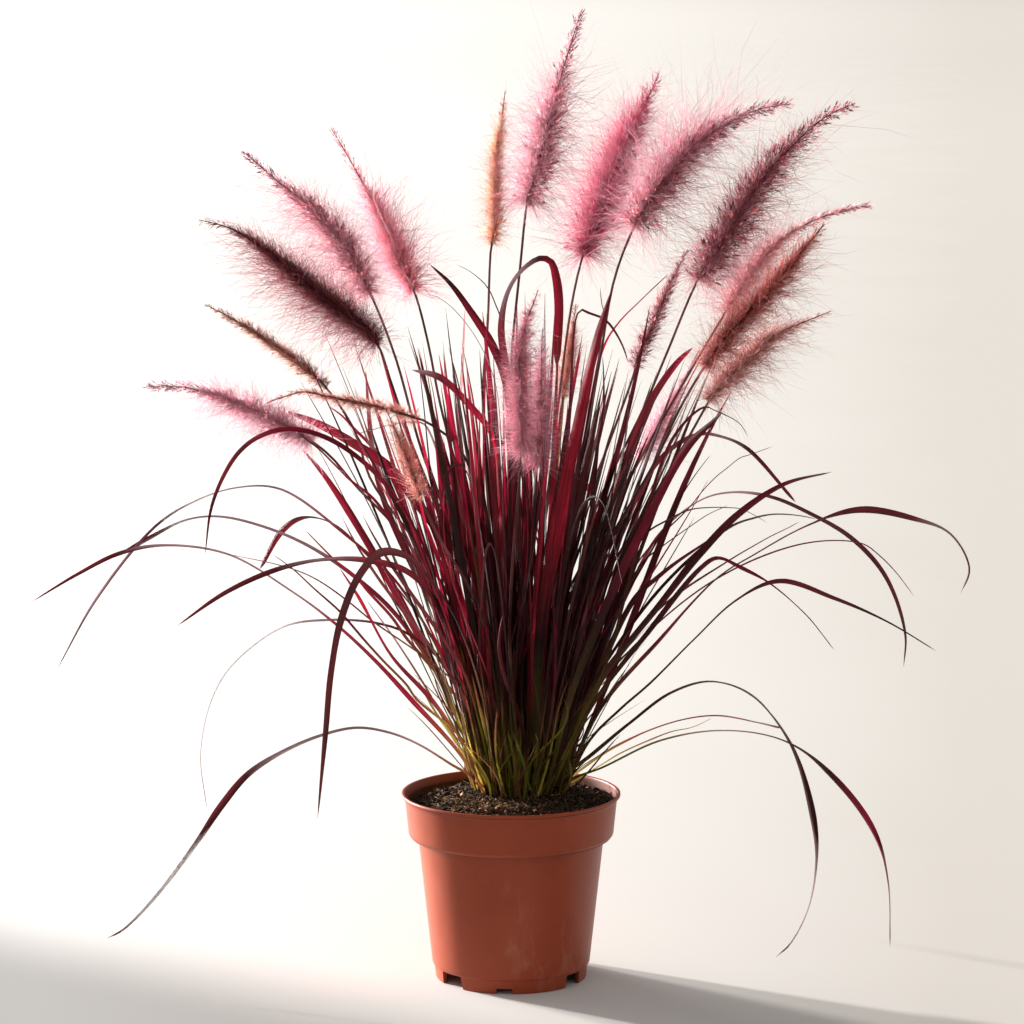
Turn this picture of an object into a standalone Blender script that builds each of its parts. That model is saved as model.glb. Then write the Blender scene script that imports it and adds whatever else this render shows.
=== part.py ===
"""A potted purple fountain grass clump, in metres, +Z up.

The origin is on the floor in the middle of the pot's foot. +X is to the right and
+Y away from a viewer who stands in front. The grass grows from one crown in the
middle of the soil: a tuft of inner blades, long leaves that arch over, and flower
stems that end in a feathery plume.
"""
import math
import random

import bmesh
import bpy
import numpy as np

MM = 0.001
GAP = 0.3 * MM

# Pot, a thin moulded shell: radius and height of each line on its outside
RIM_RADIUS = 95 * MM
RIM_HEIGHT = 163 * MM
WALL = 1.9 * MM
FOOT_RADIUS = 65.5 * MM
FOOT_HEIGHT = 12.5 * MM
BODY_RADIUS_LOW = 68.6 * MM
BODY_RADIUS_HIGH = 80.6 * MM
BAND_HEIGHT_LOW = 124 * MM
BAND_HEIGHT_HIGH = 157 * MM
BAND_RADIUS_LOW = 89 * MM
BAND_RADIUS_HIGH = 92 * MM
LIP_DEPTH = 2.6 * MM
POT_SIDES = 40
FLOOR_THICKNESS = 2 * MM
FLOOR_UNDERSIDE = 11 * MM
FOOT_THICKNESS = 3 * MM

# Notches in the foot ring: bearing from the front towards the right in degrees, width, height
NOTCHES = [
    (-51, 25 * MM, 11.5 * MM),
    (54, 18.5 * MM, 11.5 * MM),
    (172, 20 * MM, 11.5 * MM),
    (-5, 13.5 * MM, 5 * MM),
    (118, 14 * MM, 5 * MM),
    (-112, 14 * MM, 5 * MM),
]
NOTCH_CUT = 24 * MM

# Soil, with a low mound that carries the crown
SOIL_EDGE_HEIGHT = 150.5 * MM
SOIL_SLACK = 0.6 * MM
SLOPE_FOOT_RADIUS = 78 * MM
SLOPE_RADIUS = 66 * MM
MOUND_HEIGHT = 159.5 * MM
MOUND_RADIUS = 55 * MM
SOIL_SIDES = 24
SOIL_LUMP = 1.6 * MM

# Crown, an oval pad: middle, half sizes and heights
CROWN_MIDDLE = (8 * MM, 12 * MM)
CROWN_HALF = (42 * MM, 32 * MM)
CROWN_EDGE = 1.2 * MM
CROWN_RISE = 4 * MM
CROWN_SIDES = 20
CROWN_RINGS = (0.25, 0.5, 0.75, 1.0)

# Inner blades of the tuft
TUFT_BLADES = 30
TUFT_HEIGHT = (0.16, 0.40)
TUFT_LEAN = (0.10, 0.42)
TUFT_BENDS = ((0.35, 0.24), (0.7, 0.60), (1.0, 1.0))
TUFT_WIDTH = (3.0 * MM, 5.6 * MM)
TUFT_SWING = 0.9
TUFT_RINGS = 6
TUFT_CLEARANCE = 0.9 * MM
TUFT_TRIES = 60

# Blades and stems
BLADE_THICKNESS = 0.9 * MM
BLADE_FOLD = 0.12
BLADE_SHARES = (0, 0.12, 0.3, 0.55, 0.72, 0.86, 0.95, 1)
BLADE_WIDTHS = (0.3, 0.42, 0.72, 1, 0.96, 0.7, 0.38, 0.08)
BLADE_TURNED_BY = 0.35
BLADE_RINGS = 12
STEM_RADIUS = 1.3 * MM
STEM_SIDES = 6
STEM_RINGS = 7
PLUME_RINGS = 8
PLUME_FLUFF = 4 * MM
PATH_SAMPLES = 120
VERTICAL_SHARE = 0.15

# The routes below are what a viewer sees from this distance and eye height: points
# (across, up) in millimetres on the upright plane through the pot's axis. A piece that
# leans away from that plane keeps its outline, because its points move along the sight
# lines to the depth given first, in millimetres behind the plane at its tip.
VIEW_DISTANCE = 3.2
EYE_HEIGHT = 0.88

# Flower stems: depth, half width of the plume, route up to the plume, route along it
FLOWER_STEMS = [
    (60, 14,
     [(-18, 297), (-46, 385), (-75, 457), (-99, 543), (-121, 599)],
     [(-145, 641), (-170, 669), (-197, 691), (-227, 717)]),
    (-120, 10,
     [(-23, 297), (-54, 389), (-86, 470), (-102, 519), (-116, 557)],
     [(-135, 574), (-157, 591), (-185, 614), (-212, 636), (-239, 652), (-265, 659)]),
    (170, 6,
     [(-35, 297), (-78, 376), (-120, 436), (-134, 479), (-155, 512)],
     [(-169, 527), (-194, 546), (-235, 573), (-260, 587)]),
    (-40, 12,
     [(-42, 297), (-91, 385), (-134, 432), (-155, 457), (-177, 474)],
     [(-208, 490), (-236, 503), (-264, 513), (-291, 517), (-313, 516)]),
    (137, 11,
     [(-12, 297), (-35, 402), (-60, 499), (-71, 555), (-82, 597)],
     [(-99, 633), (-112, 664), (-126, 691), (-140, 716), (-152, 736)]),
    (-161, 5,
     [(-9, 297), (-20, 402), (-45, 465), (-57, 476), (-76, 488)],
     [(-86, 491), (-113, 499), (-157, 508), (-177, 512), (-208, 503)]),
    (-206, 7,
     [(-9, 280), (-35, 341), (-61, 385), (-79, 425)],
     [(-86, 447), (-97, 474), (-107, 498)]),
    (240, 9,
     [(-9, 297), (-20, 419), (-24, 513), (-20, 568), (-17, 636)],
     [(-14, 652), (-13, 708), (-9, 735), (-5, 768)]),
    (70, 12,
     [(1, 297), (-1, 419), (0, 533), (8, 621), (14, 675)],
     [(21, 699), (35, 754), (51, 809), (60, 836)]),
    (295, 14,
     [(16, 297), (33, 437), (51, 583), (60, 625)],
     [(67, 647), (86, 702), (97, 727), (112, 754), (125, 783)]),
    (99, 14,
     [(29, 297), (55, 419), (76, 541), (88, 609), (104, 652)],
     [(117, 675), (134, 699), (150, 719), (169, 732), (191, 745), (213, 753), (236, 757)]),
    (68, 18,
     [(34, 297), (76, 419), (113, 497), (132, 543), (162, 614)],
     [(178, 636), (211, 691), (230, 713), (249, 732), (271, 749), (291, 757)]),
    (-170, 12,
     [(42, 297), (85, 385), (123, 451), (144, 497), (168, 538)],
     [(187, 563), (229, 610), (266, 655)]),
    (193, 10,
     [(42, 289), (93, 419), (144, 514), (179, 574)],
     [(196, 602), (223, 636), (250, 655), (278, 666), (304, 671)]),
    (-89, 10,
     [(47, 289), (111, 402), (152, 473), (173, 510)],
     [(185, 524), (218, 555), (234, 565), (272, 581)]),
    (222, 6,
     [(29, 297), (59, 402), (85, 471), (105, 528)],
     [(108, 541), (123, 574), (132, 597), (150, 634)]),
    (-266, 11,
     [(-1, 297), (3, 385), (9, 462)],
     [(8, 499), (9, 555), (23, 599)]),
    (-110, 13,
     [(9, 297), (18, 385), (23, 457)],
     [(25, 499), (26, 541), (27, 566)]),
    (290, 6,
     [(15, 297), (32, 419), (44, 504)],
     [(45, 519), (49, 538), (55, 587)]),
    (164, 6,
     [(29, 289), (68, 376), (110, 454)],
     [(123, 476), (138, 504), (161, 549)]),
]

# Leaves: depth, greatest width, turn of the blade about its length in degrees, route
LEAVES = [
    # Left, from the lowest arch to the tallest blade
    (-30, 9.0, 62,
     [(-29, 172), (-52, 187), (-81, 205), (-106, 215), (-134, 219), (-165, 212), (-199, 197),
      (-228, 178), (-251, 151), (-274, 116), (-312, 66), (-338, 40), (-353, 32)]),
    (130, 3.6, 50,
     [(-35, 245), (-84, 299), (-114, 311), (-159, 314), (-196, 308), (-239, 276),
      (-258, 246), (-269, 197), (-264, 147)]),
    (-272, 10.0, 55,
     [(-27, 254), (-48, 315), (-70, 349), (-89, 369), (-112, 373), (-131, 353), (-147, 314),
      (-156, 268), (-161, 215), (-168, 139)]),
    (-158, 7.5, 60,
     [(-35, 254), (-61, 324), (-89, 356), (-124, 366), (-165, 366), (-201, 358), (-244, 339),
      (-288, 309)]),
    (-105, 6.5, 60,
     [(-40, 190), (-87, 245), (-117, 278), (-151, 310), (-189, 339), (-243, 371), (-298, 379),
      (-337, 372), (-373, 354), (-413, 330)]),
    (81, 6.0, 55,
     [(-44, 245), (-96, 344), (-143, 389), (-198, 428), (-236, 429), (-272, 417), (-305, 396),
      (-356, 334), (-392, 271)]),
    (200, 4.6, 50,
     [(-48, 236), (-96, 315), (-136, 353), (-175, 379), (-215, 396), (-251, 404), (-279, 401),
      (-312, 385), (-336, 371)]),
    (-102, 6.0, 58,
     [(-35, 254), (-70, 367), (-112, 437), (-155, 471), (-189, 480), (-214, 474), (-231, 462),
      (-245, 442), (-257, 412), (-263, 371)]),
    (240, 6.4, 60,
     [(-40, 245), (-78, 315), (-121, 367), (-155, 399), (-178, 403), (-196, 393), (-216, 359)]),
    (-145, 6.6, 45,
     [(-44, 209), (-70, 245), (-104, 283), (-131, 333), (-147, 359)]),
    (150, 7.5, 60,
     [(-53, 245), (-78, 297), (-122, 380), (-159, 439), (-179, 463)]),
    (13, 9.6, 60,
     [(-27, 297), (-44, 359), (-82, 418), (-105, 447), (-134, 467), (-164, 484), (-194, 496)]),
    (210, 6.4, 65,
     [(-53, 297), (-87, 367), (-105, 408), (-115, 441), (-120, 480), (-124, 531)]),
    (-109, 10.5, 62,
     [(-9, 297), (-9, 367), (-11, 419), (-17, 474), (-37, 501), (-61, 524), (-85, 531)]),
    (140, 5.5, 70,
     [(-18, 297), (-35, 402), (-45, 491), (-42, 520), (-39, 584)]),
    (76, 9.6, 66,
     [(-1, 297), (1, 437), (-3, 516), (-14, 549), (-32, 578), (-51, 604), (-70, 622)]),
    # Middle, among them the blade that is folded over at its top
    (9, 9.6, 72,
     [(3, 297), (1, 437), (-3, 520), (-9, 568), (-3, 599), (9, 617), (25, 627), (34, 624),
      (39, 608), (41, 587), (40, 553), (39, 533)]),
    (-157, 14.0, 64,
     [(25, 297), (42, 402), (55, 480), (73, 558), (86, 600)]),
    (155, 5.6, 62,
     [(25, 297), (59, 454), (79, 549), (91, 570), (111, 591), (134, 613)]),
    # Right, from the tallest blade to the lowest arch
    (33, 7.5, 60,
     [(42, 297), (85, 419), (120, 504), (142, 537), (155, 550)]),
    (-226, 14.0, 60,
     [(51, 245), (81, 324), (113, 393), (151, 465), (172, 486), (181, 495)]),
    (88, 6.4, 58,
     [(51, 254), (94, 385), (128, 454), (160, 475), (180, 473), (202, 463), (244, 417)]),
    (-160, 9.6, 55,
     [(68, 245), (132, 332), (164, 374), (195, 406), (234, 432), (275, 443)]),
    (167, 6.6, 55,
     [(60, 245), (98, 332), (128, 389), (164, 419), (191, 425), (223, 421), (254, 408), (293, 385),
      (323, 351), (340, 302), (339, 273)]),
    (60, 8.8, 62,
     [(77, 236), (129, 297), (178, 351), (209, 371), (254, 396), (300, 410), (346, 402), (377, 389),
      (394, 359), (387, 337)]),
    (-238, 6.4, 55,
     [(68, 236), (120, 306), (163, 359), (177, 368), (197, 360), (224, 345), (255, 318),
      (279, 288)]),
    (16, 6.4, 58,
     [(68, 208), (95, 236), (121, 259), (158, 297), (194, 331), (231, 348), (278, 333), (325, 312),
      (367, 287)]),
    (-90, 9.6, 66,
     [(48, 178), (68, 194), (104, 224), (139, 250), (174, 260), (209, 247), (242, 204), (262, 140),
      (265, 99), (259, 59), (244, 28), (231, 15)]),
    (-76, 8.6, 62,
     [(50, 172), (79, 184), (130, 208), (184, 217), (236, 208), (277, 178), (314, 130), (328, 84),
      (331, 24)]),
    (190, 4.4, 50,
     [(50, 175), (89, 202), (139, 224), (177, 230), (213, 224), (235, 219)]),
]

# Leaves that arch straight back or forward: bearing of the arch from +X towards +Y in
# degrees, reach from the crown, height of the arch, height of the tip, greatest width
ROUND_LEAVES = [
    (74, 290, 400, 190, 8.0),
    (88, 306, 350, 120, 9.0),
    (104, 280, 430, 230, 7.0),
    (-74, 290, 455, 390, 8.0),
    (-96, 330, 420, 330, 7.0),
    (-106, 250, 480, 430, 9.0),
]
ROUND_LEAF_TURN = 35

# Rings on the crown, as shares of its half sizes, that the pieces of each kind take in turn
LEAF_RINGS = (0.84, 0.94)
STEM_RINGS_ON_CROWN = (0.28, 0.48, 0.66)


def clear_scene():
    for obj in list(bpy.data.objects):
        bpy.data.objects.remove(obj, do_unlink=True)


def material(name, colour, roughness):
    """A plain surface: colour is linear red, green and blue."""
    made = bpy.data.materials.new(name)
    made.use_nodes = True
    shader = made.node_tree.nodes["Principled BSDF"]
    shader.inputs["Base Color"].default_value = (*colour, 1.0)
    shader.inputs["Roughness"].default_value = roughness
    shader.inputs["Metallic"].default_value = 0.0
    made.diffuse_color = (*colour, 1.0)
    return made


def make_object(name, shape, look, sharp_angle=40):
    """Turns a bmesh into a named object, shaded smooth except at sharp edges."""
    bmesh.ops.recalc_face_normals(shape, faces=shape.faces)
    mesh = bpy.data.meshes.new(name)
    shape.to_mesh(mesh)
    shape.free()
    mesh.shade_smooth()
    mesh.set_sharp_from_angle(angle=math.radians(sharp_angle))
    mesh.materials.append(look)
    obj = bpy.data.objects.new(name, mesh)
    bpy.context.scene.collection.objects.link(obj)
    return obj


def turned(profile, sides):
    """A solid of revolution: profile is a closed outline of (radius, height) off the axis."""
    shape = bmesh.new()
    rings = []
    for step in range(sides):
        angle = 2 * math.pi * step / sides
        rings.append([
            shape.verts.new((radius * math.cos(angle), radius * math.sin(angle), height))
            for radius, height in profile
        ])
    for step in range(sides):
        here, there = rings[step], rings[(step + 1) % sides]
        for k in range(len(profile) - 1):
            shape.faces.new((here[k], there[k], there[k + 1], here[k + 1]))
    shape.faces.new([ring[0] for ring in reversed(rings)])
    shape.faces.new([ring[-1] for ring in rings])
    return shape


def pot_profile():
    """The shell's outline, from the middle of its underside round to the middle of its floor."""
    foot_inside = FOOT_RADIUS - FOOT_THICKNESS
    lip_bottom = RIM_HEIGHT - LIP_DEPTH
    outside = [
        (foot_inside, FLOOR_UNDERSIDE),
        (foot_inside, 0.0),
        (FOOT_RADIUS, 0.0),
        (FOOT_RADIUS + 1.6 * MM, FOOT_HEIGHT - 0.4 * MM),
        (BODY_RADIUS_LOW, FOOT_HEIGHT + 0.5 * MM),
        (BODY_RADIUS_HIGH, BAND_HEIGHT_LOW),
        (BAND_RADIUS_LOW - 3.4 * MM, BAND_HEIGHT_LOW + 0.6 * MM),
        (BAND_RADIUS_LOW - 0.9 * MM, BAND_HEIGHT_LOW + 1.8 * MM),
        (BAND_RADIUS_LOW, BAND_HEIGHT_LOW + 4.4 * MM),
        (BAND_RADIUS_HIGH, BAND_HEIGHT_HIGH),
        (BAND_RADIUS_HIGH + 0.8 * MM, lip_bottom - 0.9 * MM),
        (RIM_RADIUS - 0.2 * MM, lip_bottom),
        (RIM_RADIUS, RIM_HEIGHT - 1 * MM),
        (RIM_RADIUS - 1.1 * MM, RIM_HEIGHT),
        (RIM_RADIUS - 2.9 * MM, RIM_HEIGHT - 0.5 * MM),
    ]
    inside = [
        (BAND_RADIUS_HIGH - WALL, BAND_HEIGHT_HIGH - 1 * MM),
        (BAND_RADIUS_LOW - WALL, BAND_HEIGHT_LOW + 4.8 * MM),
        (BODY_RADIUS_HIGH - WALL, BAND_HEIGHT_LOW + 1.6 * MM),
        (BODY_RADIUS_LOW - WALL, FLOOR_UNDERSIDE + FLOOR_THICKNESS),
    ]
    return outside + inside


def notch_cutter(name, bearing, width, height):
    """A box across the foot ring, at a bearing from the front, that reaches down past the floor."""
    shape = bmesh.new()
    bmesh.ops.create_cube(shape, size=1.0)
    for vertex in shape.verts:
        vertex.co.x = FOOT_RADIUS + vertex.co.x * NOTCH_CUT
        vertex.co.y *= width
        vertex.co.z = height if vertex.co.z > 0 else -height
    cutter = make_object(name, shape, bpy.data.materials["pot"])
    cutter.rotation_euler.z = math.radians(bearing - 90)
    cutter.hide_render = True
    cutter.display_type = "WIRE"
    return cutter


def pot():
    look = material("pot", (0.37, 0.105, 0.060), 0.55)
    obj = make_object("pot", turned(pot_profile(), POT_SIDES), look, sharp_angle=30)
    for number, notch in enumerate(NOTCHES, 1):
        cut = obj.modifiers.new(f"notch_{number}", "BOOLEAN")
        cut.operation = "DIFFERENCE"
        cut.object = notch_cutter(f"notch_cutter_{number}", *notch)


def soil():
    """Peat that fills the pot to a finger's width below its rim, mounded under the crown."""
    draw = random.Random(21)
    step = BAND_HEIGHT_LOW + 1.6 * MM
    profile = [
        (BODY_RADIUS_LOW - WALL - SOIL_SLACK, FLOOR_UNDERSIDE + FLOOR_THICKNESS + GAP),
        (BODY_RADIUS_HIGH - WALL - SOIL_SLACK, step + 0.5 * MM),
        (BAND_RADIUS_LOW - WALL - 1.4 * MM, step + 3.8 * MM),
        (BAND_RADIUS_HIGH - WALL - 1.5 * MM, SOIL_EDGE_HEIGHT),
        (SLOPE_FOOT_RADIUS, SOIL_EDGE_HEIGHT + 1.0 * MM),
        (SLOPE_RADIUS, (SOIL_EDGE_HEIGHT + MOUND_HEIGHT) / 2),
        (MOUND_RADIUS, MOUND_HEIGHT),
    ]
    shape = turned(profile, SOIL_SIDES)
    for vertex in shape.verts:
        if SOIL_EDGE_HEIGHT - 1e-6 < vertex.co.z < MOUND_HEIGHT - 1e-6:
            vertex.co.z += draw.uniform(-SOIL_LUMP, SOIL_LUMP)
    make_object("soil", shape, material("soil", (0.035, 0.024, 0.017), 0.95), sharp_angle=60)


def smooth_curve(points, count):
    """Evenly spaced points on the centripetal Catmull-Rom curve through the given points."""
    known = np.array(points, float)
    known = np.vstack([2 * known[0] - known[1], known, 2 * known[-1] - known[-2]])
    traced = []
    for a, b, c, d in zip(known, known[1:], known[2:], known[3:]):
        t1 = math.sqrt(np.linalg.norm(b - a))
        t2 = t1 + math.sqrt(np.linalg.norm(c - b))
        t3 = t2 + math.sqrt(np.linalg.norm(d - c))
        for t in np.linspace(t1, t2, 12, endpoint=False):
            ab = a + (b - a) * t / t1
            bc = b + (c - b) * (t - t1) / (t2 - t1)
            cd = c + (d - c) * (t - t2) / (t3 - t2)
            abc = ab + (bc - ab) * t / t2
            bcd = bc + (cd - bc) * (t - t1) / (t3 - t1)
            traced.append(abc + (bcd - abc) * (t - t1) / (t2 - t1))
    traced.append(known[-2])
    return along(np.array(traced), np.linspace(0, 1, count))


def along(path, shares):
    """Points of a path at the given shares of its length."""
    steps = np.linalg.norm(np.diff(path, axis=0), axis=1)
    reach = np.concatenate([[0.0], np.cumsum(steps)]) / steps.sum()
    return np.column_stack([np.interp(shares, reach, column) for column in path.T])


def root_on_crown(tip, ring, half_width):
    """Where a piece that ends above or beside tip leaves the crown, just clear of its surface."""
    lean = np.array(tip[:2]) - CROWN_MIDDLE
    lean /= np.linalg.norm(lean)
    place = np.array(CROWN_MIDDLE) + lean * CROWN_HALF * ring
    inner = max(0.0, ring - half_width / min(CROWN_HALF))
    return np.array([*place, crown_height(inner) + GAP])


def crown_height(ring):
    return MOUND_HEIGHT + GAP + CROWN_EDGE + CROWN_RISE * (1 - ring ** 2)


def seen_route(points, depth, ring):
    """The path in space of a route given as seen from the front, from its root to its tip."""
    depth *= MM
    scale = 1 + depth / VIEW_DISTANCE
    root = root_on_crown((points[-1][0] * MM * scale, depth), ring, STEM_RADIUS)
    scale = 1 + root[1] / VIEW_DISTANCE
    start = (root[0] / scale, EYE_HEIGHT + (root[2] - EYE_HEIGHT) / scale)
    seen = smooth_curve([start] + [(across * MM, up * MM) for across, up in points], PATH_SAMPLES)
    moves = np.abs(np.diff(seen, axis=0)) @ (1, VERTICAL_SHARE)
    share = np.concatenate([[0.0], np.cumsum(moves)]) / moves.sum()
    away = root[1] + (depth - root[1]) * share
    scale = 1 + away / VIEW_DISTANCE
    return np.column_stack([seen[:, 0] * scale, away, EYE_HEIGHT + (seen[:, 1] - EYE_HEIGHT) * scale])


def arched_route(bearing, reach, top, tip, ring):
    """The path of a leaf that arches over in one upright plane."""
    angle = math.radians(bearing)
    out = np.array([math.cos(angle), math.sin(angle)])
    end = np.array(CROWN_MIDDLE) + out * reach * MM
    root = root_on_crown(end, ring, STEM_RADIUS)
    points = [root]
    for share, height in ((0.30, 0.62), (0.58, 0.94), (0.80, 0.97)):
        place = root[:2] + (end - root[:2]) * share
        points.append(np.array([*place, root[2] + (top * MM - root[2]) * height]))
    points.append(np.array([*end, tip * MM]))
    return smooth_curve(points, PATH_SAMPLES)


def frames(path):
    """For each point of a path: its direction, the level side vector and the upper face's normal."""
    directions = np.gradient(path, axis=0)
    directions /= np.linalg.norm(directions, axis=1, keepdims=True)
    lean = path[-1] - path[0]
    side = np.array([lean[1], -lean[0], 0.0])
    side /= np.linalg.norm(side)
    normals = np.cross(side, directions)
    normals /= np.linalg.norm(normals, axis=1, keepdims=True)
    sides = np.cross(directions, normals)
    return directions, sides, normals


def blade_width(share):
    """A grass blade's width at a share of its length, where 1 is its greatest."""
    return np.interp(share, BLADE_SHARES, BLADE_WIDTHS)


def blade_rings(path, width, turn, count):
    """Folded, edge-to-edge sections of a blade, each of four points in the order of a right turn."""
    shares = np.linspace(0, 1, count)
    middle = along(path, shares)
    _, sides, normals = frames(middle)
    rings = []
    for k, share in enumerate(shares):
        angle = math.radians(turn) * min(1.0, share / BLADE_TURNED_BY)
        across = sides[k] * math.cos(angle) + normals[k] * math.sin(angle)
        upper = normals[k] * math.cos(angle) - sides[k] * math.sin(angle)
        if k == 0:
            across, upper = across * (1, 1, 0), upper * (1, 1, 0)
            upper /= np.linalg.norm(upper)
        half = width / 2 * blade_width(share)
        thick = BLADE_THICKNESS / 2 * (1.6 - 1.2 * share)
        edge = upper * half * 2 * BLADE_FOLD
        rings.append([
            middle[k] + across * half + edge,
            middle[k] - upper * thick,
            middle[k] - across * half + edge,
            middle[k] + upper * thick,
        ])
    return rings


def grow(shape, start, rings, tip):
    """Skins rings of points onto an open loop of vertices, and closes the end in a point."""
    here = start
    for ring in rings:
        there = [shape.verts.new(point) for point in ring]
        for k in range(len(here)):
            after = (k + 1) % len(here)
            shape.faces.new((here[k], here[after], there[after], there[k]))
        here = there
    end = shape.verts.new(tip)
    for k in range(len(here)):
        shape.faces.new((here[k], here[(k + 1) % len(here)], end))


def closed_loft(rings, tip):
    """A closed solid through the rings, with a flat base and a pointed end."""
    shape = bmesh.new()
    start = [shape.verts.new(point) for point in rings[0]]
    shape.faces.new(reversed(start))
    grow(shape, start, rings[1:], tip)
    return shape


def leaf(name, path, width, turn, look):
    rings = blade_rings(path, width, turn, BLADE_RINGS)
    make_object(name, closed_loft(rings[:-1], path[-1]), look, sharp_angle=50)
    return path, blade_room(width)


def blade_room(width):
    """Half the width of a blade at each sample of its path."""
    return width / 2 * blade_width(np.linspace(0, 1, PATH_SAMPLES))


def plume_start_share(stalk, plume):
    """The share of a flower stem's length at which its plume starts."""
    route = np.array(stalk + plume)
    steps = np.linalg.norm(np.diff(route, axis=0), axis=1)
    base = route[0][1] - MOUND_HEIGHT / MM
    return (base + steps[:len(stalk) - 1].sum()) / (base + steps.sum())


def stem_radius(share, plume_start, half_width):
    """A thin stalk, then a spindle that is fullest in its lower half and ends in a thin tip."""
    along_plume = np.clip((share - plume_start) / (1 - plume_start), 0, 1)
    return np.maximum(STEM_RADIUS, half_width * np.abs(np.sin(np.pi * along_plume ** 0.75)) ** 0.7)


def flower_stem(name, path, half_width, stalk, plume, look):
    """A round stalk that swells into the plume it carries, grown as one piece."""
    start = plume_start_share(stalk, plume)
    fluff = half_width * MM + PLUME_FLUFF
    shares = list(np.linspace(0, start, STEM_RINGS))
    shares += [start + (1 - start) * k / PLUME_RINGS for k in range(1, PLUME_RINGS)]
    middle = along(path, shares)
    _, sides, normals = frames(middle)
    rings = []
    for k, share in enumerate(shares):
        radius = stem_radius(share, start, fluff)
        across, inward = sides[k], normals[k]
        if k == 0:
            inward = inward * (1, 1, 0)
            inward /= np.linalg.norm(inward)
        rings.append([
            middle[k] + radius * (across * math.cos(angle) - inward * math.sin(angle))
            for angle in np.arange(STEM_SIDES) * 2 * math.pi / STEM_SIDES
        ])
    make_object(name, closed_loft(rings, path[-1]), look, sharp_angle=60)
    return path, stem_radius(np.linspace(0, 1, PATH_SAMPLES), start, fluff)


def crown_shape():
    """The oval pad that every piece grows from, and the faces on it where a blade may grow."""
    shape = bmesh.new()
    top = shape.verts.new((*CROWN_MIDDLE, crown_height(0)))
    rings = []
    for ring in CROWN_RINGS:
        rings.append([
            shape.verts.new((
                CROWN_MIDDLE[0] + CROWN_HALF[0] * ring * math.cos(angle),
                CROWN_MIDDLE[1] + CROWN_HALF[1] * ring * math.sin(angle),
                crown_height(ring),
            ))
            for angle in np.arange(CROWN_SIDES) * 2 * math.pi / CROWN_SIDES
        ])
    foot = [shape.verts.new((*vertex.co.xy, MOUND_HEIGHT + GAP)) for vertex in rings[-1]]
    places = []
    for k in range(CROWN_SIDES):
        after = (k + 1) % CROWN_SIDES
        shape.faces.new((top, rings[0][k], rings[0][after]))
        for inner, outer in zip(rings, rings[1:]):
            places.append(shape.faces.new((inner[k], outer[k], outer[after], inner[after])))
        shape.faces.new((rings[-1][k], foot[k], foot[after], rings[-1][after]))
    shape.faces.new(reversed(foot))
    return shape, places


def tuft_path(root, draw):
    """A blade that leans out from the middle of the crown, a little more towards its tip."""
    out = np.array(root[:2]) - CROWN_MIDDLE
    swing = draw.uniform(-TUFT_SWING, TUFT_SWING)
    out = np.array([
        out[0] * math.cos(swing) - out[1] * math.sin(swing),
        out[0] * math.sin(swing) + out[1] * math.cos(swing),
    ])
    out /= np.linalg.norm(out)
    height = draw.uniform(*TUFT_HEIGHT)
    reach = height * draw.uniform(*TUFT_LEAN)
    points = [root]
    for share, bend in TUFT_BENDS:
        place = root[:2] + out * reach * bend
        points.append(np.array([*place, root[2] + height * share]))
    return smooth_curve(points, PATH_SAMPLES)


def tuft(taken):
    """The crown with the short inner blades that grow from it, in the room between other pieces."""
    draw = random.Random(7)
    shape, places = crown_shape()
    grown = 0
    while grown < TUFT_BLADES and places:
        face = places.pop(draw.randrange(len(places)))
        root = np.array(face.calc_center_median())
        for _ in range(TUFT_TRIES):
            width = draw.uniform(*TUFT_WIDTH)
            path = tuft_path(root, draw)
            if clearance(path, blade_room(width), taken) > TUFT_CLEARANCE:
                break
        else:
            continue
        rings = blade_rings(path, width, draw.uniform(-60, 60), TUFT_RINGS)
        loop = sprout(shape, face, rings[0])
        grow(shape, loop, rings[1:-1], path[-1])
        taken.append((path, blade_room(width)))
        grown += 1
    make_object("tuft", shape, material("tuft", (0.060, 0.016, 0.022), 0.55), sharp_angle=50)


def sprout(shape, face, ring):
    """Insets one face of the crown to the first section of a blade, and opens it there."""
    bmesh.ops.inset_individual(shape, faces=[face], thickness=0.5 * MM)
    loop = list(face.verts)
    first = min(range(4), key=lambda k: np.linalg.norm(np.array(loop[k].co) - ring[0]))
    loop = loop[first:] + loop[:first]
    for vertex, point in zip(loop, ring):
        vertex.co = (*point[:2], vertex.co.z)
    shape.faces.remove(face)
    return loop


def clearance(path, room, taken):
    """The least gap between a blade on this path and the pieces already there."""
    gaps = []
    for other, other_room in taken:
        apart = np.linalg.norm(path[::2, None] - other[None], axis=2)
        gaps.append((apart - room[::2, None] - other_room[None]).min())
    return min(gaps)


def in_turn(choices, number):
    return choices[number % len(choices)]


def main():
    clear_scene()
    pot()
    soil()
    stem_look = material("flower_stem", (0.250, 0.075, 0.095), 0.80)
    leaf_look = material("leaf", (0.110, 0.018, 0.030), 0.45)
    taken = []
    for number, (depth, half_width, stalk, plume) in enumerate(FLOWER_STEMS, 1):
        path = seen_route(stalk + plume, depth, in_turn(STEM_RINGS_ON_CROWN, number))
        name = f"flower_stem_{number:02d}"
        taken.append(flower_stem(name, path, half_width, stalk, plume, stem_look))
    for number, (depth, width, turn, route) in enumerate(LEAVES, 1):
        path = seen_route(route, depth, in_turn(LEAF_RINGS, number))
        taken.append(leaf(f"leaf_{number:02d}", path, width * MM, turn, leaf_look))
    for number, (bearing, reach, top, tip, width) in enumerate(ROUND_LEAVES, len(LEAVES) + 1):
        path = arched_route(bearing, reach, top, tip, in_turn(LEAF_RINGS, number))
        taken.append(leaf(f"leaf_{number:02d}", path, width * MM, ROUND_LEAF_TURN, leaf_look))
    tuft(taken)


main()
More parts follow.
